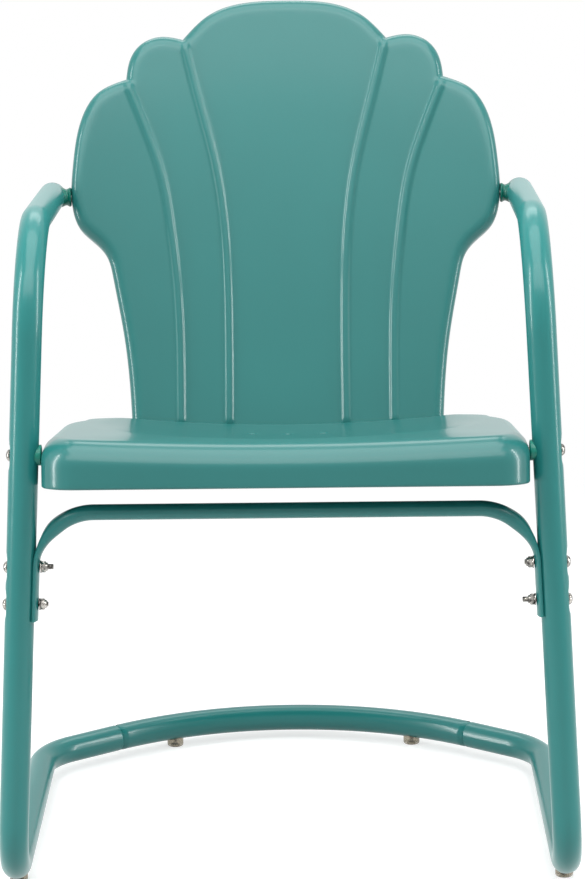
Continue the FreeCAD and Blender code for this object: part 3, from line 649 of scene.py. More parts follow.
def pressed_back_tree() -> NodeWork:
    """Stamps beads along guide lines into a flat sheet and then curves the sheet round an upright axis.

    The sheet lies in x and y, its depth below the face in -z. The result has x across, y rearward and z up.
    """
    tree = NodeWork("pressed_back")
    width, crest, height, curve = [
        tree.size(label) for label in ("Bead Width", "Bead Crest", "Bead Height", "Curve Radius")
    ]
    guide = tree.attribute("guide", "BOOLEAN")
    parts = tree.node("GeometryNodeSeparateGeometry", {"Geometry": tree.geometry, "Selection": guide})
    place = tree.node("GeometryNodeInputPosition")
    flat = tree.node("ShaderNodeVectorMath", {0: place}, {1: (1, 1, 0)}, operation="MULTIPLY")
    lines = {"Target": parts.outputs["Selection"], "Source Position": flat}
    near = tree.node("GeometryNodeProximity", lines, target_element="EDGES")
    flank = {
        "Value": near.outputs["Distance"],
        "From Min": tree.math("MULTIPLY", width, 0.5),
        "From Max": tree.math("MULTIPLY", crest, 0.5),
        "To Max": height,
    }
    lift = tree.node("ShaderNodeMapRange", flank, {"To Min": 0.0}, interpolation_type="SMOOTHSTEP")
    across, up, depth = tree.node("ShaderNodeSeparateXYZ", {0: place}).outputs
    pressed = tree.math("MULTIPLY_ADD", lift.outputs["Result"], tree.attribute("give"), depth)
    reach = tree.math("SUBTRACT", curve, pressed)
    squares = [tree.math("MULTIPLY", side, side) for side in (reach, across)]
    depth = tree.math("SUBTRACT", tree.math("SQRT", tree.math("SUBTRACT", *squares)), curve)
    curved = tree.node("ShaderNodeCombineXYZ", {"X": across, "Y": depth, "Z": up})
    moved = {"Geometry": parts.outputs["Inverted"], "Position": curved}
    return tree.close(tree.node("GeometryNodeSetPosition", moved))


def fastener_tree() -> NodeWork:
    """Sets one fastener on each point, along the point's axis and turned to its flat."""
    tree = NodeWork("set_fasteners")
    shape = tree.node("GeometryNodeObjectInfo", {"Object": tree.size("Pattern", "Object")})
    axes = {"Primary Axis": "axis", "Secondary Axis": "flat"}
    turn = tree.node(
        "FunctionNodeAxesToRotation",
        {socket: tree.attribute(name, "FLOAT_VECTOR") for socket, name in axes.items()},
        primary_axis="Z",
        secondary_axis="X",
    )
    points = tree.node("GeometryNodeMeshToPoints", {"Mesh": tree.geometry})
    seats = {"Points": points, "Instance": shape.outputs["Geometry"], "Rotation": turn}
    return tree.close(tree.node("GeometryNodeInstanceOnPoints", seats))


@dataclass
class TubeRun:
    """The middle line of a bent tube, laid out for the tube tree.

    Attributes:
        corners: The polygon that the tube follows.
        radii: The bend radius at each inner corner.
        bend_step: The angle of one face in a bend.
        step: The length of one face on a straight.
        rim: The length of each end that is drawn in.
        rim_girth: The share of the girth that an end keeps.
    """

    corners: list[Vector]
    radii: Sequence[float]
    bend_step: float = math.radians(2.8)
    step: float = 3.5
    rim: float = 1.1
    rim_girth: float = 0.93

    def turn(self, i: int) -> float:
        """The angle that the tube turns by at corner i."""
        return (self.corners[i] - self.corners[i - 1]).angle(self.corners[i + 1] - self.corners[i])

    def tangent(self, i: int) -> float:
        """How far before and after corner i its bend starts and ends."""
        return self.radii[i - 1] * math.tan(self.turn(i) / 2)

    def build(self, name: str, bench: Bench, tree: NodeWork, girth: tuple[float, int]) -> bpy.types.Mesh:
        """Bends a tube along the run.

        Args:
            name: The name of the run's mesh.
            bench: Where pieces are made.
            tree: The tube tree.
            girth: The tube's radius and its number of sides.

        Returns:
            The tube's mesh.
        """
        rows: list[tuple[Vector, float, int, float]] = []
        last = len(self.corners) - 1
        for i, corner in enumerate(self.corners):
            if 0 < i < last:
                steps = max(2, round(self.turn(i) / self.bend_step))
                rows.append((corner, self.radii[i - 1] * MM, steps, 1.0))
            else:
                rows.append((corner, 0.0, 1, self.rim_girth))
            if i == last:
                break
            ahead = self.corners[i + 1] - corner
            start = self.tangent(i) if i else self.rim
            stop = ahead.length - (self.tangent(i + 1) if i + 1 < last else self.rim)
            count = max(1, int((stop - start) / self.step))
            for k in range(min(i, 1), count + (i + 1 == last)):
                reach = start + (stop - start) * k / count
                rows.append((corner + ahead.normalized() * reach, 0.0, 1, 1.0))
        places, bends, steps, girths = zip(*rows)
        line = bpy.data.meshes.new(name)
        edges = [(k, k + 1) for k in range(len(rows) - 1)]
        line.from_pydata(bench.metres([place[:] for place in places]).tolist(), edges, [])
        mark(line, "bend_radius", "FLOAT", bends)
        mark(line, "bend_steps", "INT", steps)
        mark(line, "girth", "FLOAT", girths)
        radius, sides = girth
        return tidied(tree.grow(line, bench.palette[Slot.FRAME_PAINT], Tube_Radius=radius * MM, Sides=sides))


@dataclass
class SideTube:
    """One side of the chair: arm, front leg, floor runner and the crossbar's stub, bent in one."""

    hand: Hand
    layout: Layout = LAYOUT
    arm_bend: float = 100.0
    floor_bend: float = 65.0
    corner_bend: float = 75.0
    press_depth: float = 1.5
    press_half: float = 9.0
    press_run: float = 8.0
    press_heights: tuple[float, float] = (150.0, 560.0)
    sides: int = 56

    def corners(self) -> list[Vector]:
        """The tube's polygon, mirrored for the left side."""
        plan = self.layout
        joint = plan.bar_point(plan.bar_half_angle)
        heading = Vector((math.cos(plan.bar_half_angle), -math.sin(plan.bar_half_angle), 0))
        stub = joint + heading * ((plan.floor_corner.x - joint.x) / heading.x)
        right = [plan.arm_end, plan.plane_point(0, plan.arm_up(0)), plan.floor_corner, stub, joint]
        return [Vector((p.x * self.hand.value, p.y, p.z)) for p in right]

    def press_flats(self, mesh: bpy.types.Mesh, bench: Bench) -> None:
        """Presses a soft flat into the leg's outer face at each bolt."""
        plan = self.layout
        sign = self.hand.value
        points = np.array([v.co[:] for v in mesh.vertices])
        x, y, z = ((points - np.array((0, bench.legs_y, 0))) / MM).T
        out = (x * sign - (plan.floor_half_width - z * math.tan(plan.splay))) * math.cos(plan.splay)
        low, high = self.press_heights
        on_leg = (np.abs(y) < plan.tube_radius + 1) & (z > low) & (z < high)
        for height in (plan.seat_bolt_height, *plan.brace_bolt_heights):
            share = 1 - smooth((np.abs(z - height) - self.press_half) / self.press_run)
            limit = plan.tube_radius - self.press_depth * share
            over = np.where(on_leg, np.maximum(out - limit, 0.0), 0.0)
            points[:, 0] -= over * MM * sign
            out = out - over
        mesh.vertices.foreach_set("co", points.astype(np.float32).ravel())
        mesh.update()

    def build(self, bench: Bench, tree: NodeWork) -> None:
        """Bends the tube and presses the flats for its bolts."""
        side = self.hand.side
        run = TubeRun(self.corners(), (self.arm_bend, self.floor_bend, self.corner_bend))
        mesh = run.build(f"{side}_side_run", bench, tree, (self.layout.tube_radius, self.sides))
        self.press_flats(mesh, bench)
        nodes = [f"{side}_leg_and_arm_tube", f"{side}_base_runner_tube"]
        piece = bench.piece(f"{side}_side_tube", mesh, Slot.FRAME_PAINT, nodes)
        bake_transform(piece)


@dataclass
class Crossbar:
    """The bowed bar at the back of the base."""

    layout: Layout = LAYOUT
    lead: float = 0.9
    sides: int = 56

    def build(self, bench: Bench, tree: NodeWork) -> None:
        """Bends the bar between the two stubs, after a short straight lead at each end."""
        plan = self.layout
        half = plan.bar_half_angle
        apex = Vector((0, plan.base_depth - plan.bar_radius * (1 - 1 / math.cos(half)), plan.axis_height))
        corners = [plan.bar_point(-half), apex, plan.bar_point(half)]
        run = TubeRun(corners, [plan.bar_radius - self.lead / math.tan(half)], bend_step=math.radians(0.7))
        mesh = run.build("crossbar_run", bench, tree, (plan.tube_radius, self.sides))
        bench.piece("rear_bar", mesh, Slot.FRAME_PAINT, ["rear_crossbar"], Body.BASE)


@dataclass
class Brace:
    """The arched tube under the seat, whose ends are flattened into straps that hug the legs."""

    layout: Layout = LAYOUT
    radius: float = 8.0
    height: float = 416.0
    bend: float = 58.0
    strap_thickness: float = 4.0
    strap_width: float = 22.0
    strap_end: float = 304.8
    gap: float = 0.15
    flatten_from: float = math.radians(38.0)
    flat_before_end: float = math.radians(4)
    sides: int = 48
    steps: tuple[int, int, int] = (24, 40, 24)

    def stations(self) -> list[tuple[Vector, Vector, float]]:
        """The right half's middle line from the chair's middle: place, heading and how flat it is."""
        plan = self.layout
        lean = plan.splay
        across, round_bend, down_leg = self.steps
        offset = plan.tube_radius + self.gap + self.strap_thickness / 2 + self.bend
        centre_z = self.height - self.bend
        centre_x = plan.floor_half_width - (offset + centre_z * math.sin(lean)) / math.cos(lean)
        rows = [(Vector((x, 0, self.height)), OUT, 0.0) for x in np.linspace(0, centre_x, across)]
        full = math.pi / 2 - lean
        for angle in np.linspace(0, full, round_bend)[1:]:
            x = centre_x + self.bend * math.sin(angle)
            z = centre_z + self.bend * math.cos(angle)
            flat = smooth((angle - self.flatten_from) / (full - self.flatten_from - self.flat_before_end))
            rows.append((Vector((x, 0, z)), Vector((math.cos(angle), 0, -math.sin(angle))), float(flat)))
        down = Vector((math.sin(lean), 0, -math.cos(lean)))
        start = rows[-1][0]
        length = (start.z - self.strap_end) / math.cos(lean)
        rows += [(start + down * reach, down, 1.0) for reach in np.linspace(0, length, down_leg)[1:]]
        return rows

    def strap(self) -> np.ndarray:
        """The strap's cross-section, bent to hug the leg: out from its middle line, and along y."""
        half = self.strap_thickness / 2
        middle = self.layout.tube_radius + self.gap + half
        reach = math.asin((self.strap_width / 2 - half) / middle)
        quarter = self.sides // 4
        turn = np.linspace(-1, 1, quarter)
        tip = np.linspace(0, math.pi, quarter + 2)[1:-1]
        rows = []
        for sign, radius in ((1, middle - half), (-1, middle + half)):
            sweep = turn * sign * reach
            rows.append(np.stack((middle - radius * np.cos(sweep), radius * np.sin(sweep)), axis=1))
            end = sign * reach
            centre = np.array((middle - middle * math.cos(end), middle * math.sin(end)))
            radial = np.array((math.cos(end), -math.sin(end))) * sign
            tangent = np.array((math.sin(end), math.cos(end))) * sign
            rows.append(centre + half * (np.outer(np.cos(tip), radial) + np.outer(np.sin(tip), tangent)))
        strap = np.concatenate(rows)
        start = int(np.argmin(np.abs(np.arctan2(strap[:, 1], strap[:, 0] + 1e-6))))
        return np.roll(strap, -start, axis=0)

    def build(self, bench: Bench) -> None:
        """Sweeps a section that goes from round to strap along both halves."""
        tube, strap = circle(self.radius, self.sides), self.strap()
        rings = []
        for place, heading, flat in self.stations():
            section = tube * (1 - flat) + strap * flat
            towards_leg = Vector((-heading.z, 0, heading.x))
            ring = np.array(place) + np.outer(section[:, 0], towards_leg) + np.outer(section[:, 1], (0, 1, 0))
            rings.append(ring)
        rings = [ring * (-1, 1, 1) for ring in rings[:0:-1]] + rings
        mesh = bench.mesh("brace", lofted(rings, (0, len(rings) - 1)))
        bench.piece("under_seat_brace", mesh, Slot.FRAME_PAINT, ["seat_brace"], Body.SEAT)


@dataclass
class Rim:
    """A closed edge of a pressed sheet, rolled over and turned down.

    Attributes:
        edge: Plan points of the edge, with the sheet on their left.
        inward: Unit vectors from the edge into the sheet.
        roll: The roll's radius at each point.
        turned: The depth of the turned edge below the face.
        hem: The radius of the return at the free edge, or 0.
        lip: How far the return reaches in.
        rows: Rows of faces down the turned edge.
        lean: How much the edge leans in per millimetre of depth, against +y.
        steps: Rows of faces round the roll.
        hem_steps: Rows of faces round the return.
    """

    edge: np.ndarray
    inward: np.ndarray
    roll: np.ndarray
    turned: float
    hem: float = 0.0
    lip: float = 0.0
    rows: int = 4
    lean: float | np.ndarray = 0.0
    steps: int = 8
    hem_steps: int = 4

    @classmethod
    def around(cls, edge: np.ndarray, roll: float | np.ndarray, turned: float, **more) -> "Rim":
        """A rim whose inward vectors follow from the edge itself, which is smooth."""
        along = np.roll(edge, -1, axis=0) - np.roll(edge, 1, axis=0)
        along /= np.linalg.norm(along, axis=1)[:, None]
        inward = np.stack((-along[:, 1], along[:, 0]), axis=1)
        return cls(edge, inward, np.broadcast_to(roll, len(edge)).astype(float), turned, **more)

    @property
    def face_edge(self) -> np.ndarray:
        """Where the roll ends and the face starts."""
        return self.edge + self.inward * self.roll[:, None]

    def stations(self) -> list[tuple[np.ndarray, np.ndarray, np.ndarray, np.ndarray]]:
        """Rows from the free edge to the face: inset, depth, and the inner wall's direction in both."""
        ones = np.ones(len(self.edge))
        zero = ones * 0
        start = self.turned - self.hem
        rows = []
        if self.hem > 0:
            rows.append((self.lip * ones, self.turned * ones, zero, -ones))
            for angle in np.linspace(math.pi / 2, 0, self.hem_steps + 1):
                c, s = math.cos(angle), math.sin(angle)
                rows.append((self.hem * (1 - c) * ones, (start + self.hem * s) * ones, c * ones, -s * ones))
        else:
            rows.append((zero, self.turned * ones, ones, zero))
        for k in range(1, self.rows):
            rows.append((zero, start + (self.roll - start) * k / self.rows, ones, zero))
        for angle in np.linspace(0, math.pi / 2, self.steps + 1):
            c, s = math.cos(angle), math.sin(angle)
            rows.append((self.roll * (1 - c), self.roll * (1 - s), c * ones, s * ones))
        return rows


class PressedSheet:
    """A sheet with rolled rims, as two walls in plan.

    Attributes:
        table: The corners' x, y, depth below the face, give and lean, each as an array.
        faces: The corner numbers of each face.
    """

    def __init__(self, rims: Sequence[Rim], seeds: np.ndarray, sheet: float) -> None:
        """Lays out both walls.

        Args:
            rims: The outer rim first, then the rims of holes.
            seeds: Plan points to carry the face between the rims.
            sheet: The sheet's thickness.
        """
        self.rows: list[np.ndarray] = []
        self.faces: list[tuple[int, ...]] = []
        ends: tuple[list, list] = ([], [])
        for rim in rims:
            count = len(rim.edge)
            walls: tuple[list, list] = ([], [])
            for inset, depth, across, down in rim.stations():
                give = np.clip(1 - depth / rim.roll, 0, 1)
                for wall, offset in zip(walls, (0, sheet)):
                    plan = rim.edge + rim.inward * (inset + offset * across)[:, None]
                    wall.append(self.row(plan, depth + offset * down, give, rim.lean * depth))
            for wall, end in zip(walls, ends):
                for first, second in zip(wall, wall[1:]):
                    self.faces += strip_faces(first, second, count)
                end.extend(range(wall[-1], wall[-1] + count))
            self.faces += strip_faces(walls[0][0], walls[1][0], count)
        self.fill([rim.face_edge for rim in rims], ends, seeds, sheet)
        self.table = np.concatenate(self.rows).T

    def row(self, plan: np.ndarray, depth: np.ndarray, give: np.ndarray, lean: np.ndarray) -> int:
        """Adds a row of corners; returns the number of its first."""
        start = sum(len(row) for row in self.rows)
        self.rows.append(np.column_stack((plan, depth, give, lean)))
        return start

    def fill(self, loops: list[np.ndarray], ends: tuple[list, list], seeds: np.ndarray, sheet: float) -> None:
        """Covers the face between the rims on both walls with triangles.

        Args:
            loops: The face's edges, the outer one first.
            ends: The corner numbers along those edges, on either wall.
            seeds: Plan points to carry the face.
            sheet: The sheet's thickness.
        """
        edges, first = [], 0
        for loop in loops:
            edges += [(first + i, first + (i + 1) % len(loop)) for i in range(len(loop))]
            first += len(loop)
        corners = [Vector(p) for p in np.concatenate([*loops, seeds]).tolist()]
        places, _, triangles, origins = delaunay_2d_cdt(corners, edges, [], 1, 1e-7)[:4]
        plan = np.array([p[:] for p in places])
        flat = np.zeros(len(plan))
        for wall, (end, depth) in enumerate(zip(ends, (0, sheet))):
            start = self.row(plan, flat + depth, flat + 1, flat)
            numbers = list(range(start, start + len(plan)))
            for i, sources in enumerate(origins):
                for source in sources:
                    if source < first:
                        numbers[i] = end[source]
            for triangle in triangles:
                middle = plan[list(triangle)].mean(axis=0)
                if not any(self.within(hole, middle) for hole in loops[1:]):
                    face = tuple(numbers[i] for i in triangle)
                    self.faces.append(face[::-1] if wall else face)

    @staticmethod
    def within(hole: np.ndarray, point: np.ndarray) -> bool:
        """True for a point inside a round hole, a hundredth of its radius left free."""
        centre = hole.mean(axis=0)
        return np.linalg.norm(point - centre) <= np.linalg.norm(hole - centre, axis=1).max() * 0.99


def hex_grid(low: np.ndarray, high: np.ndarray, pitch: float) -> np.ndarray:
    """Points of a triangular grid over a box."""
    rows = []
    for k, y in enumerate(np.arange(low[1], high[1], pitch * math.sqrt(0.75))):
        xs = np.arange(low[0] + (k % 2) * pitch / 2, high[0], pitch)
        rows.append(np.stack((xs, np.full(len(xs), y)), axis=1))
    return np.concatenate(rows)


def distance_to(points: np.ndarray, path: np.ndarray) -> np.ndarray:
    """How far each point is from a polyline."""
    best = np.full(len(points), np.inf)
    for a, b in zip(path, path[1:]):
        along = b - a
        t = np.clip(((points - a) @ along) / max(along @ along, 1e-12), 0, 1)
        best = np.minimum(best, np.linalg.norm(points - (a + t[:, None] * along), axis=1))
    return best


def inside(points: np.ndarray, loop: np.ndarray) -> np.ndarray:
    """Which points lie within a closed loop."""
    result = np.zeros(len(points), bool)
    x, y = points.T
    for a, b in zip(loop, np.roll(loop, -1, axis=0)):
        if a[1] != b[1]:
            crosses = (a[1] > y) != (b[1] > y)
            result ^= crosses & (x < (b[0] - a[0]) * (y - a[1]) / (b[1] - a[1]) + a[0])
    return result


def seeds_within(
    loop: np.ndarray, pitch: float, margin: float, rows: Sequence[np.ndarray] = ()
) -> np.ndarray:
    """Face points within a loop.

    Args:
        loop: The closed line that they stay inside of.
        pitch: Their distance apart.
        margin: Their least distance from the loop.
        rows: Finer rows of points that the grid makes room for.

    Returns:
        The grid's and the rows' points.
    """
    row_gap, row_margin = pitch * 0.55, margin * 0.6
    grid = hex_grid(loop.min(axis=0), loop.max(axis=0), pitch)
    closed = np.vstack((loop, loop[:1]))
    keep = inside(grid, loop) & (distance_to(grid, closed) > margin)
    kept_rows = []
    for row in rows:
        keep &= distance_to(grid, row) > row_gap
        kept_rows.append(row[inside(row, loop) & (distance_to(row, closed) > row_margin)])
    return np.concatenate([grid[keep], *kept_rows])


@dataclass
class SeatPan:
    """The dished pan with its deep rolled skirt and three drain holes.

    Attributes:
        crest_bow: How far the front's middle lies below its ends, over crest_run before the dish's middle.
        front_bow: How far the very edge drops further, over front_bow_run.
        rear_settle: How much lower the top lies per millimetre behind the front roll.
        rear_edge: Where before the rear edge its tighter roll starts, and over which run.
        front_edge: Up to where from the front its wider roll reaches, and over which run.
        drain_rings: Distances from a drain's roll of the rings of points round it.
    """

    layout: Layout = LAYOUT
    skirt: float = 49.0
    front_corner: float = 38.0
    rear_corner: float = 125.0
    front_roll: float = 26.0
    side_roll: float = 17.0
    rear_roll: float = 5.0
    rear_margin: float = 6.0
    corner_blend: float = 3.0
    rear_edge: tuple[float, float] = (25.0, 20.0)
    front_edge: tuple[float, float] = (70.0, 60.0)
    crest_bow: float = 2.5
    crest_run: float = 160.0
    front_bow: float = 6.0
    front_bow_run: float = 90.0
    bow_half_width: float = 215.0
    rear_settle: float = 0.005
    dish_centre: float = 256.0
    dish_radius: float = 203.0
    dish_depth: float = 16.5
    dish_softness: float = 0.03
    drain_radius: float = 5.0
    drain_roll: float = 1.8
    drain_depth: float = 3.4
    drain_pitch: float = 38.0
    drain_from_front: float = 296.0
    drain_clear: float = 4.2
    drain_rings: tuple[float, float] = (1.7, 4.0)
    drain_sides: int = 28
    seam: float = 0.3

    def rear_line(self, x: np.ndarray | float) -> np.ndarray:
        """How far back the pan reaches at each x before it meets the back's curved face."""
        plan = self.layout
        seat_to_back = plan.back_frame.inverted() @ plan.seat_frame
        low = seat_to_back.translation
        step = seat_to_back @ Vector((0, 1, 0)) - low
        target = np.sqrt((plan.back_curve - self.seam) ** 2 - x**2) - plan.back_curve
        return (target - low.y) / step.y

    def outline(self) -> np.ndarray:
        """The pan's plan, counter-clockwise from the front's middle."""
        half = self.layout.seat_half_width
        rear = float(self.rear_line(0.0)) + self.rear_margin
        front, corner = self.front_corner, self.rear_corner
        sweep = np.linspace(0, math.pi / 2, 40)
        s, c = np.sin(sweep), np.cos(sweep)
        right = np.concatenate((
            [(0.0, 0.0)],
            np.column_stack((half - front + front * s, front - front * c)),
            np.column_stack((half - corner + corner * c, rear - corner + corner * s)),
            [(0.0, rear)],
        ))
        right = resampled(right, 1.0)
        blend = self.corner_blend
        right[:, 1] = -blend * np.logaddexp(-right[:, 1] / blend, -self.rear_line(right[:, 0]) / blend)
        right = resampled(right[right[:, 0] >= 0], 3.0)
        right[0, 0] = right[-1, 0] = 0.0
        return np.concatenate((right, right[-2:0:-1] * (-1, 1)))

    def relief(self, x: np.ndarray, y: np.ndarray) -> np.ndarray:
        """How far the top lies above its plane, which is below 0 in the bow and the dish."""
        reach = (x**2 + (y - self.dish_centre) ** 2) / self.dish_radius**2
        bow = self.crest_bow * smooth((self.dish_centre - y) / self.crest_run)
        bow = bow + self.front_bow * np.clip(1 - y / self.front_bow_run, 0, 1) ** 2
        fall = bow * np.clip(1 - (x / self.bow_half_width) ** 2, 0, 1)
        fall = fall + self.rear_settle * np.maximum(y - self.front_roll, 0)
        soft = self.dish_softness
        return -fall - self.dish_depth * soft * np.logaddexp(0, (1 - reach) / soft)

    def outer_rim(self) -> Rim:
        """The skirt, its roll widest in front and tightest where it meets the back."""
        edge = self.outline()
        rear_start, rear_run = self.rear_edge
        front_end, front_run = self.front_edge
        rear_share = smooth((edge[:, 1] - (self.rear_line(edge[:, 0]) - rear_start)) / rear_run)
        front_share = smooth((front_end - edge[:, 1]) / front_run)
        roll = self.side_roll + (self.front_roll - self.side_roll) * front_share
        roll = roll + (self.rear_roll - roll) * rear_share
        lean = rear_share * math.tan(self.layout.recline - self.layout.seat_slope)
        return Rim.around(edge, roll, self.skirt, hem=2.2, lip=4.0, rows=9, lean=lean, steps=12)

    def build(self, bench: Bench) -> None:
        """Presses the pan."""
        outer = self.outer_rim()
        seeds = seeds_within(outer.face_edge, 5.0, 2.4)
        drains = []
        for i in (-1, 0, 1):
            centre = np.array((i * self.drain_pitch, self.drain_from_front))
            ring = circle(self.drain_radius, self.drain_sides)[::-1] + centre
            drains.append(Rim.around(ring, self.drain_roll, self.drain_depth, rows=1, steps=4))
            clear = self.drain_radius + self.drain_clear
            seeds = seeds[np.linalg.norm(seeds - centre, axis=1) > clear]
            for extra in self.drain_rings:
                radius = self.drain_radius + self.drain_roll + extra
                seeds = np.concatenate((seeds, circle(radius, self.drain_sides) + centre))
        sheet = PressedSheet([outer, *drains], seeds, self.layout.sheet)
        x, y, depth, _, lean = sheet.table
        lift = self.relief(x, y) * np.clip(1 - depth / self.skirt, 0, 1)
        place = self.layout.seat_frame
        turn = np.array(place.to_3x3())
        placed = np.stack((x, y - lean, lift - depth), axis=1) @ turn.T + np.array(place.translation)
        mesh = bench.mesh("seat_pan_sheet", (placed, sheet.faces))
        bench.piece("dished_seat", mesh, Slot.PANEL_PAINT, ["seat_pan"], Body.SEAT)


@dataclass
class BackShell:
    """The scalloped back with its rolled edge, rearward flange and four beads.

    Its lines are given in shares of the half width and of the rise above, or the drop below, the arm bolts.
    """

    layout: Layout = LAYOUT
    rise: float = 224.0
    overlap: float = 46.0
    flange: float = 25.0
    roll: float = 14.0
    lower_corner: float = 18.0
    notch: float = math.radians(8)
    fans: int = 9
    bead_width: float = 12.5
    bead_crest: float = 3.0
    bead_height: float = 2.6
    bead_end_drop: float = 8.0
    bead_rows: tuple[float, ...] = (1.5, 2.7, 3.9, 5.1, 6.3, 8)
    crown: Pairs = ((0.0, 1.0), (0.365, 0.92), (0.48, 0.80))
    shoulder: Pairs = ((0.48, 0.80), (0.585, 0.812), (0.69, 0.757), (0.731, 0.68), (0.745, 0.593))
    side: Pairs = (
        (0.745, 0.593), (0.874, 0.523), (0.958, 0.369), (0.992, 0.16), (0.994, -0.045), (0.959, -0.125),
        (0.895, -0.175), (0.842, -0.224), (0.81, -0.313), (0.76, -0.545), (0.732, -0.783), (0.726, -0.88),
    )
    inner_bead: Pairs = ((0.47, 0.775), (0.40, 0.473), (0.328, 0.165), (0.287, -0.12), (0.273, -0.40))
    outer_bead: Pairs = (
        (0.735, 0.565), (0.651, 0.339), (0.583, 0.125), (0.541, -0.10), (0.508, -0.36), (0.496, -0.70),
    )

    @property
    def drop(self) -> float:
        """How far below the arm bolts the back ends."""
        return self.layout.junction + self.overlap

    def plan_points(self, shares: Pairs) -> list[tuple[float, float]]:
        """Shares of the back's half width and of its rise or drop as plan points."""
        half = self.layout.back_half_width
        return [(across * half, up * (self.rise if up > 0 else self.drop)) for across, up in shares]

    def edge_runs(self) -> list[np.ndarray]:
        """The edge's smooth runs from notch to notch, clockwise from the crown's left end."""
        crown = self.plan_points(self.crown)
        crown = spline([(-x, y) for x, y in crown[:0:-1]] + crown)
        shoulder = spline(self.plan_points(self.shoulder))
        side = self.plan_points(self.side)
        half, radius, drop = side[-1][0], self.lower_corner, self.drop
        sweep = np.linspace(0, math.pi / 2, 12)
        across = half - radius + radius * np.cos(sweep)
        corner = np.column_stack((across, -drop + radius - radius * np.sin(sweep)))
        foot = resampled(np.concatenate(([side[-1]], corner, [(0.0, -drop)])), 3.0)
        side = np.concatenate((spline(side), foot[1:]))
        return [crown, shoulder, side, side[::-1] * (-1, 1), shoulder[::-1] * (-1, 1)]

    def rim(self) -> Rim:
        """The scalloped rim, its inward vectors fanned out at the notches."""
        runs = self.edge_runs()
        edge, inward = [], []
        for run, following in zip(runs, runs[1:] + runs[:1]):
            into = rightward(run)
            next_into = rightward(following)[0]
            edge.append(run[:-1])
            inward.append(into[:-1])
            start = math.atan2(into[-1][1], into[-1][0])
            turn = math.atan2(next_into[1], next_into[0]) - start
            turn = (turn + math.pi) % (2 * math.pi) - math.pi
            if abs(turn) > self.notch:
                angles = start + turn * np.linspace(0, 1, self.fans)[:-1]
                edge.append(np.repeat(run[-1:], self.fans - 1, axis=0))
                inward.append(np.stack((np.cos(angles), np.sin(angles)), axis=1))
        edge = np.concatenate(edge)[::-1]
        inward = np.concatenate(inward)[::-1]
        return Rim(edge, inward, np.full(len(edge), self.roll), self.flange, hem=1.8, lip=4.5)

    def guides(self) -> list[np.ndarray]:
        """The four beads' middle lines in plan."""
        lines = []
        for shares in (self.inner_bead, self.outer_bead):
            path = self.plan_points(shares)
            path.append((path[-1][0], -self.layout.junction - self.bead_end_drop))
            right = spline(path, 3.0)
            lines += [right, right * (-1, 1)]
        return lines

    def flat_sheet(self, guides: list[np.ndarray]) -> bpy.types.Mesh:
        """The flat sheet and its guide lines as one mesh, marked with what each point is."""
        offsets = [0.0] + [offset * sign for offset in self.bead_rows for sign in (1, -1)]
        rows = [guide + rightward(guide) * offset for guide in guides for offset in offsets]
        rim = self.rim()
        sheet = PressedSheet([rim], seeds_within(rim.face_edge, 4.0, 1.8, rows), self.layout.sheet)
        x, y, depth, give, _ = sheet.table
        points = [np.stack((x, y, -depth), axis=1)]
        edges: list[tuple[int, int]] = []
        total = len(x)
        for guide in guides:
            points.append(np.column_stack((guide, np.zeros(len(guide)))))
            edges += [(total + i, total + i + 1) for i in range(len(guide) - 1)]
            total += len(guide)
        mesh = bpy.data.meshes.new("back_sheet")
        mesh.from_pydata((np.concatenate(points) * MM).tolist(), edges, sheet.faces)
        mark(mesh, "give", "FLOAT", np.append(give, np.zeros(total - len(x))))
        mark(mesh, "guide", "BOOLEAN", np.arange(total) >= len(x))
        return mesh

    def build(self, bench: Bench, tree: NodeWork) -> None:
        """Stamps the beads, curves the sheet and leans it back."""
        pressed = tree.grow(
            self.flat_sheet(self.guides()), bench.palette[Slot.PANEL_PAINT], Bead_Width=self.bead_width * MM,
            Bead_Crest=self.bead_crest * MM, Bead_Height=self.bead_height * MM,
            Curve_Radius=self.layout.back_curve * MM,
        )
        place = self.layout.back_frame.copy()
        place.translation = Vector(bench.metres(place.translation))
        pressed.transform(place)
        bench.piece("scalloped_back", tidied(pressed), Slot.PANEL_PAINT, ["back_shell"], Body.SEAT)


def turned(profile: Pairs, sides: int, shape: Callable | None = None) -> Shape:
    """Turns a profile of heights and radii round +Z, a radius of 0 making a pole.

    Args:
        profile: Heights and radii in order, from one pole or rim to the other, or back to the first.
        sides: Faces round the axis.
        shape: Changes a ring's radii, given its number, the angles and the radii.

    Returns:
        The points and the faces.
    """
    rings = []
    for k, (height, radius) in enumerate(profile):
        radii = np.full(sides, max(radius, 1e-7))
        if shape is not None:
            radii = shape(k, once_round(sides), radii)
        rings.append(np.column_stack((circle(radii, sides), np.full(sides, height))))
    ends = () if profile[0] == profile[-1] else (0, len(rings) - 1)
    return lofted(rings, [k for k in ends if profile[k][1] > 0])


def joined(*parts: Shape) -> Shape:
    """Several closed shapes as one."""
    points, faces, count = [], [], 0
    for part_points, part_faces in parts:
        points.append(part_points)
        faces += [tuple(i + count for i in face) for face in part_faces]
        count += len(part_points)
    return np.concatenate(points), faces


def hexagonal(angles: np.ndarray, flats: float) -> np.ndarray:
    """A hexagon's radius at each angle, by its width across flats."""
    return flats / 2 / np.cos((angles % (math.pi / 3)) - math.pi / 6)


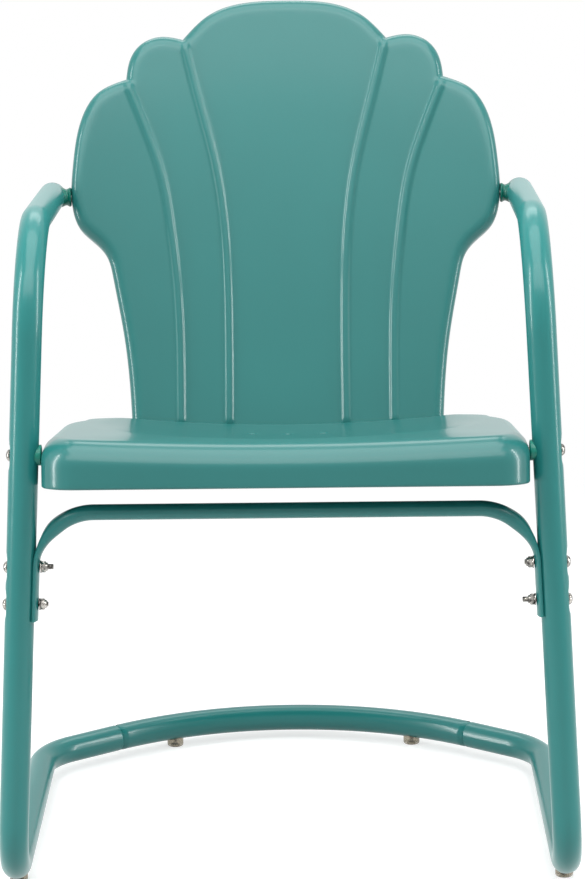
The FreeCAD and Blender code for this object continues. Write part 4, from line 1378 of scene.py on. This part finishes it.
@dataclass
class BoltPattern:
    """A domed bolt with a hexagon socket and a thread at its tip, its head above z = 0.

    Attributes:
        length: How far the shank reaches below the head.
        thread: How much of it carries the thread.
        turn_steps: Rings in one turn of the thread.
        run_out: Over which length the thread tapers off at the tip, by tip_taper.
        dome: The angles between which the dome is drawn, at dome_share of its height.
        bevel: The height of the head's lower and the socket's upper edge.
    """

    length: float
    thread: float = 14.0
    radius: float = 3.0
    pitch: float = 1.0
    thread_depth: float = 0.55
    turn_steps: int = 5
    run_out: float = 0.8
    tip_taper: float = 0.5
    bevel: float = 0.3
    dome_share: float = 0.98
    head_radius: float = 6.2
    head_height: float = 3.8
    dome: tuple[float, float] = (math.radians(8), math.radians(62))
    socket: float = 4.0
    socket_depth: float = 2.0
    sides: int = 36

    def head(self) -> Shape:
        """The dome and its socket."""
        low, high = self.dome
        bevel = self.bevel
        profile = [(0.0, self.radius), (0.0, self.head_radius - bevel), (bevel, self.head_radius)]
        for angle in np.linspace(low, high, 7):
            height = self.head_height * math.sin(angle) / math.sin(high) * self.dome_share
            profile.append((height, self.head_radius * math.cos(angle)))
        profile.append((self.head_height, self.socket / 2 / math.cos(math.pi / 6) + 0.35))
        walls = (len(profile), len(profile) + 1)
        bottom = self.head_height - self.socket_depth
        profile += [(self.head_height - bevel, 1.0), (bottom, 1.0), (bottom - 0.5, 0.0)]

        def socketed(k: int, angles: np.ndarray, radii: np.ndarray) -> np.ndarray:
            """The socket's walls."""
            return hexagonal(angles, self.socket) if k in walls else radii

        return turned(profile, self.sides, socketed)

    def shank(self) -> Shape:
        """The plain shank and its thread, whose crest winds down to the tip."""
        steps = int(self.thread / (self.pitch / self.turn_steps))
        heights = [0.5, -self.length + self.thread]
        heights += [-self.length + self.thread * (1 - (k + 1) / steps) for k in range(steps)]

        def wound(k: int, angles: np.ndarray, radii: np.ndarray) -> np.ndarray:
            """The thread's crest, wound down the shank."""
            if k < 2:
                return radii
            phase = (heights[k] / self.pitch - angles / (2 * math.pi)) % 1.0
            crest = np.abs(phase - 0.5) * 2
            taper = min(1.0, (heights[k] + self.length) / self.run_out)
            return self.radius - self.thread_depth * crest - self.tip_taper * (1 - taper)

        return turned([(h, self.radius) for h in heights], self.sides, wound)

    def shape(self) -> Shape:
        """The whole bolt."""
        return joined(self.head(), self.shank())


@dataclass
class NutPattern:
    """A lock nut with chamfered corners and a rolled collar, standing on z = 0."""

    flats: float = 10.0
    height: float = 4.4
    collar: float = 4.4
    collar_height: float = 2.0
    bore: float = 2.75
    sides: int = 48

    def shape(self) -> Shape:
        """The nut."""
        height, collar, bore = self.height, self.collar, self.bore
        top = height + self.collar_height
        bevel = self.flats / 2 - 0.15
        profile = [
            (0.6, bore), (0.0, bore + 0.4), (0.0, bevel), (0.45, bevel + 0.7), (height - 0.45, bevel + 0.7),
            (height, bevel), (height + 0.15, collar), (top - 0.9, collar), (top - 0.3, collar - 0.3),
            (top, collar - 0.9), (top, bore + 0.35), (top - 0.6, bore), (0.6, bore),
        ]

        def cut(k: int, angles: np.ndarray, radii: np.ndarray) -> np.ndarray:
            """The nut's two hexagonal rings."""
            return np.minimum(hexagonal(angles, self.flats), radii + 0.35) if k in (3, 4) else radii

        return turned(profile, self.sides, cut)


@dataclass
class WasherPattern:
    """A flat washer with eased edges, standing on z = 0."""

    radius: float = 6.4
    bore: float = 3.2
    thickness: float = 1.2
    ease: float = 0.25
    sides: int = 40

    def shape(self) -> Shape:
        """The washer."""
        t, r, b, e = self.thickness, self.radius, self.bore, self.ease
        return turned([(0.0, b), (0.0, r - e), (e, r), (t - e, r), (t, r - e), (t, b), (0.0, b)], self.sides)


@dataclass
class FastenerSet:
    """Identical fasteners: their shape, their seats and the ways out of them, and their turns in degrees."""

    pattern: Shape
    seats: list[Seat]
    turns: Sequence[float] = (0,)

    def build(self, bench: Bench, tree: NodeWork) -> bpy.types.Mesh:
        """Sets the fasteners; returns their plain mesh."""
        points, faces = self.pattern
        pattern = bpy.data.meshes.new("pattern")
        pattern.from_pydata((points * MM).tolist(), [], faces)
        holder = link_object("pattern", tidied(pattern, weld=1e-8))
        mesh = bpy.data.meshes.new("seats")
        mesh.from_pydata(bench.metres([place[:] for place, _ in self.seats]).tolist(), [], [])
        axes, flats = [], []
        for i, (_, axis) in enumerate(self.seats):
            z = axis.normalized()
            near = NEARLY_UP if abs(axis.z) < 0.9 else OUT
            x = (near - z * near.dot(z)).normalized()
            turn = math.radians(self.turns[i % len(self.turns)])
            flats += list(x * math.cos(turn) + z.cross(x) * math.sin(turn))
            axes += list(z)
        mark(mesh, "axis", "FLOAT_VECTOR", axes)
        mark(mesh, "flat", "FLOAT_VECTOR", flats)
        made = tree.grow(mesh, bench.palette[Slot.ZINC], Pattern=holder)
        bpy.data.objects.remove(holder)
        return made


def mirrored(seats: Sequence[Seat]) -> list[Seat]:
    """Each seat on the right and its mirror image on the left."""
    flip = Matrix.Diagonal((-1, 1, 1))
    return [seat for place, axis in seats for seat in ((place, axis), (flip @ place, flip @ axis))]


@dataclass
class Hardware:
    """Every bolt, nut and washer of the chair.

    Attributes:
        nut_stack: The height of a nut.
        tips: How far the long and the short brace bolts stand out of their nuts, and the other bolts.
        insert_reach: How far an arm bolt reaches into the arm.
        seam: The play between seat and back.
    """

    layout: Layout = LAYOUT
    press_depth: float = 1.4
    strap: float = 4.1
    washer: float = 1.2
    washer_radius: float = 6.4
    fit: float = 0.1
    seam: float = 0.3
    nut_stack: float = 6.4
    tips: tuple[float, float, float] = (5.6, 1.6, 3.0)
    head_gap: float = 0.7
    back_bolt_pitch: float = 105.0
    back_bolt_drop: float = 30.0
    back_thread: float = 8.0
    insert_reach: float = 13.8

    def leg_head(self, height: float) -> Vector:
        """Where a bolt's head sits on the right leg's pressed flat."""
        return Vector((self.layout.leg_x(height) + self.layout.tube_radius - self.press_depth, 0, height))

    def washer_seat(self, height: float) -> Vector:
        """Where a washer lies on the brace's right strap."""
        plan = self.layout
        tilt = self.washer_radius * math.tan(plan.splay)
        reach = (plan.tube_radius + self.strap) / math.cos(plan.splay) + tilt
        return Vector((plan.leg_x(height) - reach - 3 * self.fit, 0, height))

    def back_seats(self) -> list[Seat]:
        """The seat-to-back bolts' heads on the back's rear face, and the way their shanks run."""
        plan = self.layout
        step = math.asin(self.back_bolt_pitch / plan.back_curve)
        seats = []
        for angle in (-step, 0.0, step):
            radial = Vector((math.sin(angle), math.cos(angle), 0))
            local = Vector((0, -plan.back_curve, -plan.junction - self.back_bolt_drop))
            local += radial * (plan.back_curve + plan.sheet)
            seats.append((plan.back_frame @ local, plan.back_frame.to_3x3() @ -radial))
        return seats

    def sets(self) -> dict[str, list[FastenerSet]]:
        """The sets of each kind of fastener."""
        plan = self.layout
        long_tip, short_tip, tip = self.tips
        nut = NutPattern().shape()
        high, low = plan.brace_bolt_heights
        upper, lower = [mirrored([(self.leg_head(height), OUT)]) for height in (high, low)]
        brace_grip = self.leg_head(high).x - self.washer_seat(high).x + self.washer + self.nut_stack
        long_bolt, short_bolt = [BoltPattern(brace_grip + extra).shape() for extra in (long_tip, short_tip)]
        strap_seats = [(self.washer_seat(height), -OUT) for height in (high, low)]
        nut_seats = [(place - OUT * self.washer, axis) for place, axis in strap_seats]
        seat_head = self.leg_head(plan.seat_bolt_height)
        seat_nut = Vector((plan.seat_half_width - plan.sheet, 0, plan.seat_bolt_height))
        seat_bolt = BoltPattern(seat_head.x - seat_nut.x + self.nut_stack + tip).shape()
        arm_x = plan.back_half_width - plan.sheet - self.head_gap
        arm_head = Vector((arm_x, plan.arm_bolt.y, plan.arm_bolt.z))
        arm_bolt = BoltPattern(plan.arm_bolt.x - plan.tube_radius + self.insert_reach - arm_head.x).shape()
        back_grip = 2 * plan.sheet + self.seam
        back_bolt = BoltPattern(back_grip + self.nut_stack + tip, thread=self.back_thread).shape()
        back_heads = [(place, -axis) for place, axis in self.back_seats()]
        back_nuts = [(place + axis * (back_grip + self.fit), axis) for place, axis in self.back_seats()]
        return {
            "brace_bolt": [
                FastenerSet(long_bolt, [upper[1], lower[0]], (12, 40)),
                FastenerSet(short_bolt, [upper[0], lower[1]], (25, 3)),
            ],
            "brace_washer": [FastenerSet(WasherPattern().shape(), mirrored(strap_seats))],
            "brace_nut": [FastenerSet(nut, mirrored(nut_seats), (8, 50, 22, 37))],
            "seat_bolt": [FastenerSet(seat_bolt, mirrored([(seat_head, OUT)]), (18, 33))],
            "seat_nut": [FastenerSet(nut, mirrored([(seat_nut, -OUT)]), (14, 44))],
            "arm_bolt": [FastenerSet(arm_bolt, mirrored([(arm_head, -OUT)]), (5, 28))],
            "back_bolt": [FastenerSet(back_bolt, back_heads, (9, 31, 50))],
            "back_nut": [FastenerSet(nut, back_nuts, (20, 3, 41))],
        }

    def build(self, bench: Bench, tree: NodeWork) -> None:
        """Sets every kind of fastener as one piece in the place of the plain ones."""
        for kind, sets in self.sets().items():
            work = bmesh.new()
            for one in sets:
                work.from_mesh(one.build(bench, tree))
            mesh = bpy.data.meshes.new(kind + "_set")
            work.to_mesh(mesh)
            work.free()
            bench.piece(kind + "_set", shaded(mesh, FASTENER_CREASE), Slot.ZINC, [kind + "s"], Body.SEAT)


@dataclass
class SaddleSpacer:
    """A moulded spacer between a sheet's side and a tube, its far end hollowed to fit the tube.

    Attributes:
        kind: Whether it belongs to the seat or the arm.
        slot: Its finish.
        start: Where its middle line leaves the sheet on the right.
        tube_point: A point of the tube's middle line.
        tube_heading: The way the tube runs.
        profile: Shares of its length, and the radii there.
    """

    kind: str
    slot: Slot
    start: Vector
    tube_point: Vector
    tube_heading: Vector
    profile: Pairs
    layout: Layout = LAYOUT
    bore: float = 3.2
    gap: float = 0.12
    sides: int = 48

    def reach(self, y: np.ndarray, z: np.ndarray) -> np.ndarray:
        """Where lines along x at the given places meet the tube."""
        heading = np.array(self.tube_heading.normalized())
        places = np.stack((np.zeros(len(y)), y, z), axis=1) - np.array(self.tube_point)
        side = places - np.outer(places @ heading, heading)
        step = np.array(OUT) - heading[0] * heading
        a = step @ step
        b = 2 * side @ step
        c = (side**2).sum(axis=1) - (self.layout.tube_radius + self.gap) ** 2
        return (-b - np.sqrt(np.maximum(b * b - 4 * a * c, 0))) / (2 * a)

    def build(self, bench: Bench, hand: Hand) -> None:
        """Moulds the spacer for one side."""
        rings = []
        near = self.start.x + self.gap
        for share, radius in [(0.0, self.bore), *self.profile, (1.0, self.bore), (0.0, self.bore)]:
            y, z = (circle(radius, self.sides) + (self.start.y, self.start.z)).T
            x = near + (self.reach(y, z) - near) * share
            rings.append(np.stack((x * hand.value, y, z), axis=1))
        name = f"{hand.side}_{self.kind}_saddle"
        mesh = bench.mesh(name, lofted(rings))
        bench.piece(name, mesh, self.slot, [f"{hand.side}_{self.kind}_spacer"], Body.SEAT)


@dataclass
class Glide:
    """A translucent glide under the base, its top following the tube above."""

    layout: Layout = LAYOUT
    radius: float = 9.5
    recess: float = 3.3
    gap: float = 0.15
    sides: int = 48

    def build(self, bench: Bench, node: str, place: Vector, heading: Vector) -> None:
        """Moulds a glide.

        Args:
            bench: Where pieces are made.
            node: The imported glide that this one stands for.
            place: The glide's middle in plan.
            heading: The way the tube above it runs.
        """
        across = np.array((-heading.y, heading.x))
        tube = self.layout.tube_radius + self.gap
        full, recess, pole = self.radius, self.recess, 1e-4
        profile = [
            (pole, 3.0), (recess - 0.3, 3.0), (recess, 2.7), (recess, 0.4), (recess + 0.4, 0.0),
            (full - 1.4, 0.0), (full - 0.9, 0.15), (full - 0.25, 0.9), (full, 1.8), (full, 3.5), (full, 5.5),
            (full, 7.2), (full, None), (full - 1.5, None), (full * 0.5, None), (pole, None),
        ]
        rings = []
        for radius, height in profile:
            plan = circle(radius, self.sides)
            top = self.layout.axis_height - np.sqrt(tube**2 - (plan @ across) ** 2)
            z = top if height is None else np.full(self.sides, height)
            rings.append(np.column_stack((plan + place[:2], z)))
        mesh = bench.mesh(node + "_moulding", lofted(rings))
        bench.piece(node + "_glide", mesh, Slot.GLIDE, [node], Body.BASE)


@dataclass(frozen=True)
class Softbox:
    """A rectangular lamp that points at a spot: places and size in metres, power in watts."""

    name: str
    place: Spot
    aim: Spot
    size: tuple[float, float]
    power: float

    def hang(self) -> None:
        """Hangs the lamp."""
        lamp = bpy.data.lights.new(self.name, "AREA")
        lamp.shape = "RECTANGLE"
        lamp.size, lamp.size_y = self.size
        lamp.energy = self.power
        box = link_object(self.name, lamp)
        box.location = self.place
        box.rotation_euler = (Vector(self.place) - Vector(self.aim)).to_track_quat("Z", "Y").to_euler()


CHEST = (0, 0, 0.5)
SOFTBOXES = (
    Softbox("overhead_box", (0, -0.5, 2.6), (0, -0.5, 0), (2.2, 2.0), 48),
    Softbox("upper_front_box", (0, -2.25, 2.78), CHEST, (4.6, 1.3), 68),
    Softbox("upper_rear_box", (0, 2.3, 3.0), CHEST, (2.4, 1.0), 24),
    Softbox("left_strip", (-2.5, -0.7, 1.1), CHEST, (0.28, 2.4), 54),
    Softbox("right_strip", (2.6, -0.5, 1.1), CHEST, (0.28, 2.4), 46),
)


@dataclass(frozen=True)
class Studio:
    """Floor, room and camera, in metres and pixels."""

    focal_px: float = 3200.0
    frame_px: tuple[int, int] = (585, 879)
    camera_at: Spot = (0.0311, -3.3588, 1.2098)
    pitch: float = 0.228
    yaw: float = 0.0077
    roll: float = -0.0122
    sensor: float = 36.0
    clip: tuple[float, float] = (0.1, 50.0)
    room_light: float = 0.31
    floor_half: float = 6.0
    floor_tone: float = 0.55
    floor_glow: float = 0.62
    floor_fade: tuple[float, float] = (0.75, 1.6)

    def camera(self) -> None:
        """Sets the camera at the picture's viewing angle."""
        level_y = math.cos(self.pitch)
        ahead = Vector((-math.sin(self.yaw) * level_y, math.cos(self.yaw) * level_y, -math.sin(self.pitch)))
        level = ahead.cross(UP).normalized()
        down = ahead.cross(level).normalized()
        right = level * math.cos(self.roll) - down * math.sin(self.roll)
        below = level * math.sin(self.roll) + down * math.cos(self.roll)
        turn = Matrix((right, -below, -ahead)).transposed().to_4x4()
        lens = bpy.data.cameras.new("portrait_lens")
        lens.sensor_width = self.sensor
        lens.lens = self.focal_px * self.sensor / self.frame_px[1]
        lens.clip_start, lens.clip_end = self.clip
        camera = link_object("portrait_camera", lens)
        camera.matrix_world = Matrix.Translation(self.camera_at) @ turn
        bpy.context.scene.camera = camera

    def seen(self, wiring: Wiring) -> bpy.types.NodeSocket:
        """A value that is 1 for camera, glossy and transmission rays."""
        path = wiring.node("ShaderNodeLightPath").outputs
        either = wiring.math("MAXIMUM", path["Is Camera Ray"], path["Is Glossy Ray"])
        return wiring.math("MAXIMUM", either, path["Is Transmission Ray"])

    def finish(self, wiring: Wiring, share: bpy.types.NodeSocket, shaders: Sequence, output: str) -> None:
        """Ends a tree on the first of two shaders, with a share of the second."""
        mix = wiring.node("ShaderNodeMixShader", {"Fac": share, 1: shaders[0], 2: shaders[1]})
        wiring.link(mix, wiring.tree.nodes[output].inputs["Surface"])

    def world(self) -> None:
        """A white room to look at that lights the chair only softly."""
        world = bpy.data.worlds.new("white_room")
        world.use_nodes = True
        bpy.context.scene.world = world
        wiring = Wiring(world.node_tree)
        wiring.tree.nodes.remove(wiring.tree.nodes["Background"])
        lights = [
            wiring.node("ShaderNodeBackground", values={"Color": WHITE, "Strength": strength})
            for strength in (self.room_light, 1.0)
        ]
        self.finish(wiring, self.seen(wiring), lights, "World Output")

    def floor(self) -> None:
        """A pale floor that shows white and keeps the chair's shadow, fading into the room."""
        half = self.floor_half
        mesh = bpy.data.meshes.new("studio_floor")
        corners = [(-half, -half, 0), (half, -half, 0), (half, half, 0), (-half, half, 0)]
        mesh.from_pydata(corners, [], [(0, 1, 2, 3)])
        floor = link_object("studio_floor", mesh)
        material = bpy.data.materials.new("pale_floor")
        material.use_nodes = True
        wiring = Wiring(material.node_tree)
        wiring.tree.nodes.remove(wiring.tree.nodes["Principled BSDF"])
        seen = self.seen(wiring)
        matt = wiring.node("ShaderNodeBsdfDiffuse", values={"Color": (self.floor_tone,) * 3 + (1,)})
        glow = {"Strength": wiring.math("MULTIPLY", seen, self.floor_glow)}
        glow = wiring.node("ShaderNodeEmission", glow, {"Color": WHITE})
        both = wiring.node("ShaderNodeAddShader", {0: matt, 1: glow})
        place = wiring.node("ShaderNodeTexCoord").outputs["Object"]
        length = wiring.node("ShaderNodeVectorMath", {0: place}, operation="LENGTH").outputs["Value"]
        low, high = self.floor_fade
        levels = {"From Min": low, "From Max": high, "To Min": 0.0, "To Max": 1.0}
        fade = wiring.node("ShaderNodeMapRange", {"Value": length}, levels, interpolation_type="SMOOTHSTEP")
        share = wiring.math("MULTIPLY", fade.outputs["Result"], seen)
        white = wiring.node("ShaderNodeEmission", values={"Color": WHITE, "Strength": 1.0})
        self.finish(wiring, share, (both, white), "Material Output")
        mesh.materials.append(material)

    def build(self) -> None:
        """Sets up the studio."""
        self.camera()
        self.world()
        self.floor()
        for box in SOFTBOXES:
            box.hang()
        bpy.context.scene.view_settings.view_transform = "Standard"


class Chair:
    """The whole chair, built in a maker's order."""

    KEPT = {
        "right_arm_end_plug": Slot.PLUG,
        "left_arm_end_plug": Slot.PLUG,
        "arm_inserts": Slot.ZINC,
        "crossbar_screws": Slot.ZINC,
        "foot_screws": Slot.ZINC,
    }
    SEAT_SPACER = ((0.0, 9.0), (0.02, 9.2), (0.16, 10.5), (0.5, 10.5), (0.9, 10.5), (1.0, 10.2))
    ARM_SPACER = (
        (0.0, 9.6), (0.04, 10.2), (0.16, 10.6), (0.32, 9.6),
        (0.5, 8.9), (0.68, 9.2), (0.86, 10.6), (1.0, 10.9),
    )

    def __init__(self, layout: Layout) -> None:
        """Gets the bench ready."""
        self.layout = layout
        self.bench = Bench()

    def spacers(self) -> None:
        """Moulds the seat's and the arms' spacers."""
        plan = self.layout
        leg = plan.plane_point(0, 0)
        up_leg = plan.plane_point(0, 1) - leg
        seat_start = Vector((plan.seat_half_width, 0, plan.seat_bolt_height))
        arm_start = Vector((plan.back_half_width, plan.arm_bolt.y, plan.arm_bolt.z))
        kinds = (
            SaddleSpacer("seat", Slot.SEAT_SPACER, seat_start, leg, up_leg, self.SEAT_SPACER),
            SaddleSpacer("arm", Slot.ARM_SPACER, arm_start, plan.arm_end, plan.arm_heading, self.ARM_SPACER),
        )
        for hand in Hand:
            for kind in kinds:
                kind.build(self.bench, hand)

    def glides(self) -> None:
        """Moulds the four glides."""
        plan = self.layout
        angle = math.asin(plan.rear_foot_x / plan.bar_radius)
        rear = plan.bar_point(angle)
        for hand in Hand:
            sign = hand.value
            front = Vector((plan.floor_corner.x * sign, plan.front_foot_y, 0))
            Glide().build(self.bench, f"{hand.side}_front_foot", front, Vector((0, 1, 0)))
            heading = Vector((math.cos(angle), -math.sin(angle) * sign, 0))
            Glide().build(self.bench, f"{hand.side}_rear_foot", Vector((rear.x * sign, rear.y, 0)), heading)

    def dress_kept_nodes(self) -> None:
        """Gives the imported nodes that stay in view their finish."""
        for node, slot in self.KEPT.items():
            self.bench.dress(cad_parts[node].data, slot)
            LOG.info("%s: kept, finish %s", node, slot.value)

    def build(self) -> None:
        """Builds and dresses every piece."""
        tubes = bent_tube_tree()
        for hand in Hand:
            SideTube(hand).build(self.bench, tubes)
        Crossbar().build(self.bench, tubes)
        Brace().build(self.bench)
        SeatPan().build(self.bench)
        BackShell().build(self.bench, pressed_back_tree())
        self.spacers()
        self.glides()
        Hardware().build(self.bench, fastener_tree())
        self.dress_kept_nodes()


def main() -> None:
    """Builds the studio and the chair."""
    logging.basicConfig(level=logging.INFO, format="%(name)s %(message)s")
    Studio().build()
    Chair(LAYOUT).build()


if __name__ == "__main__":
    main()
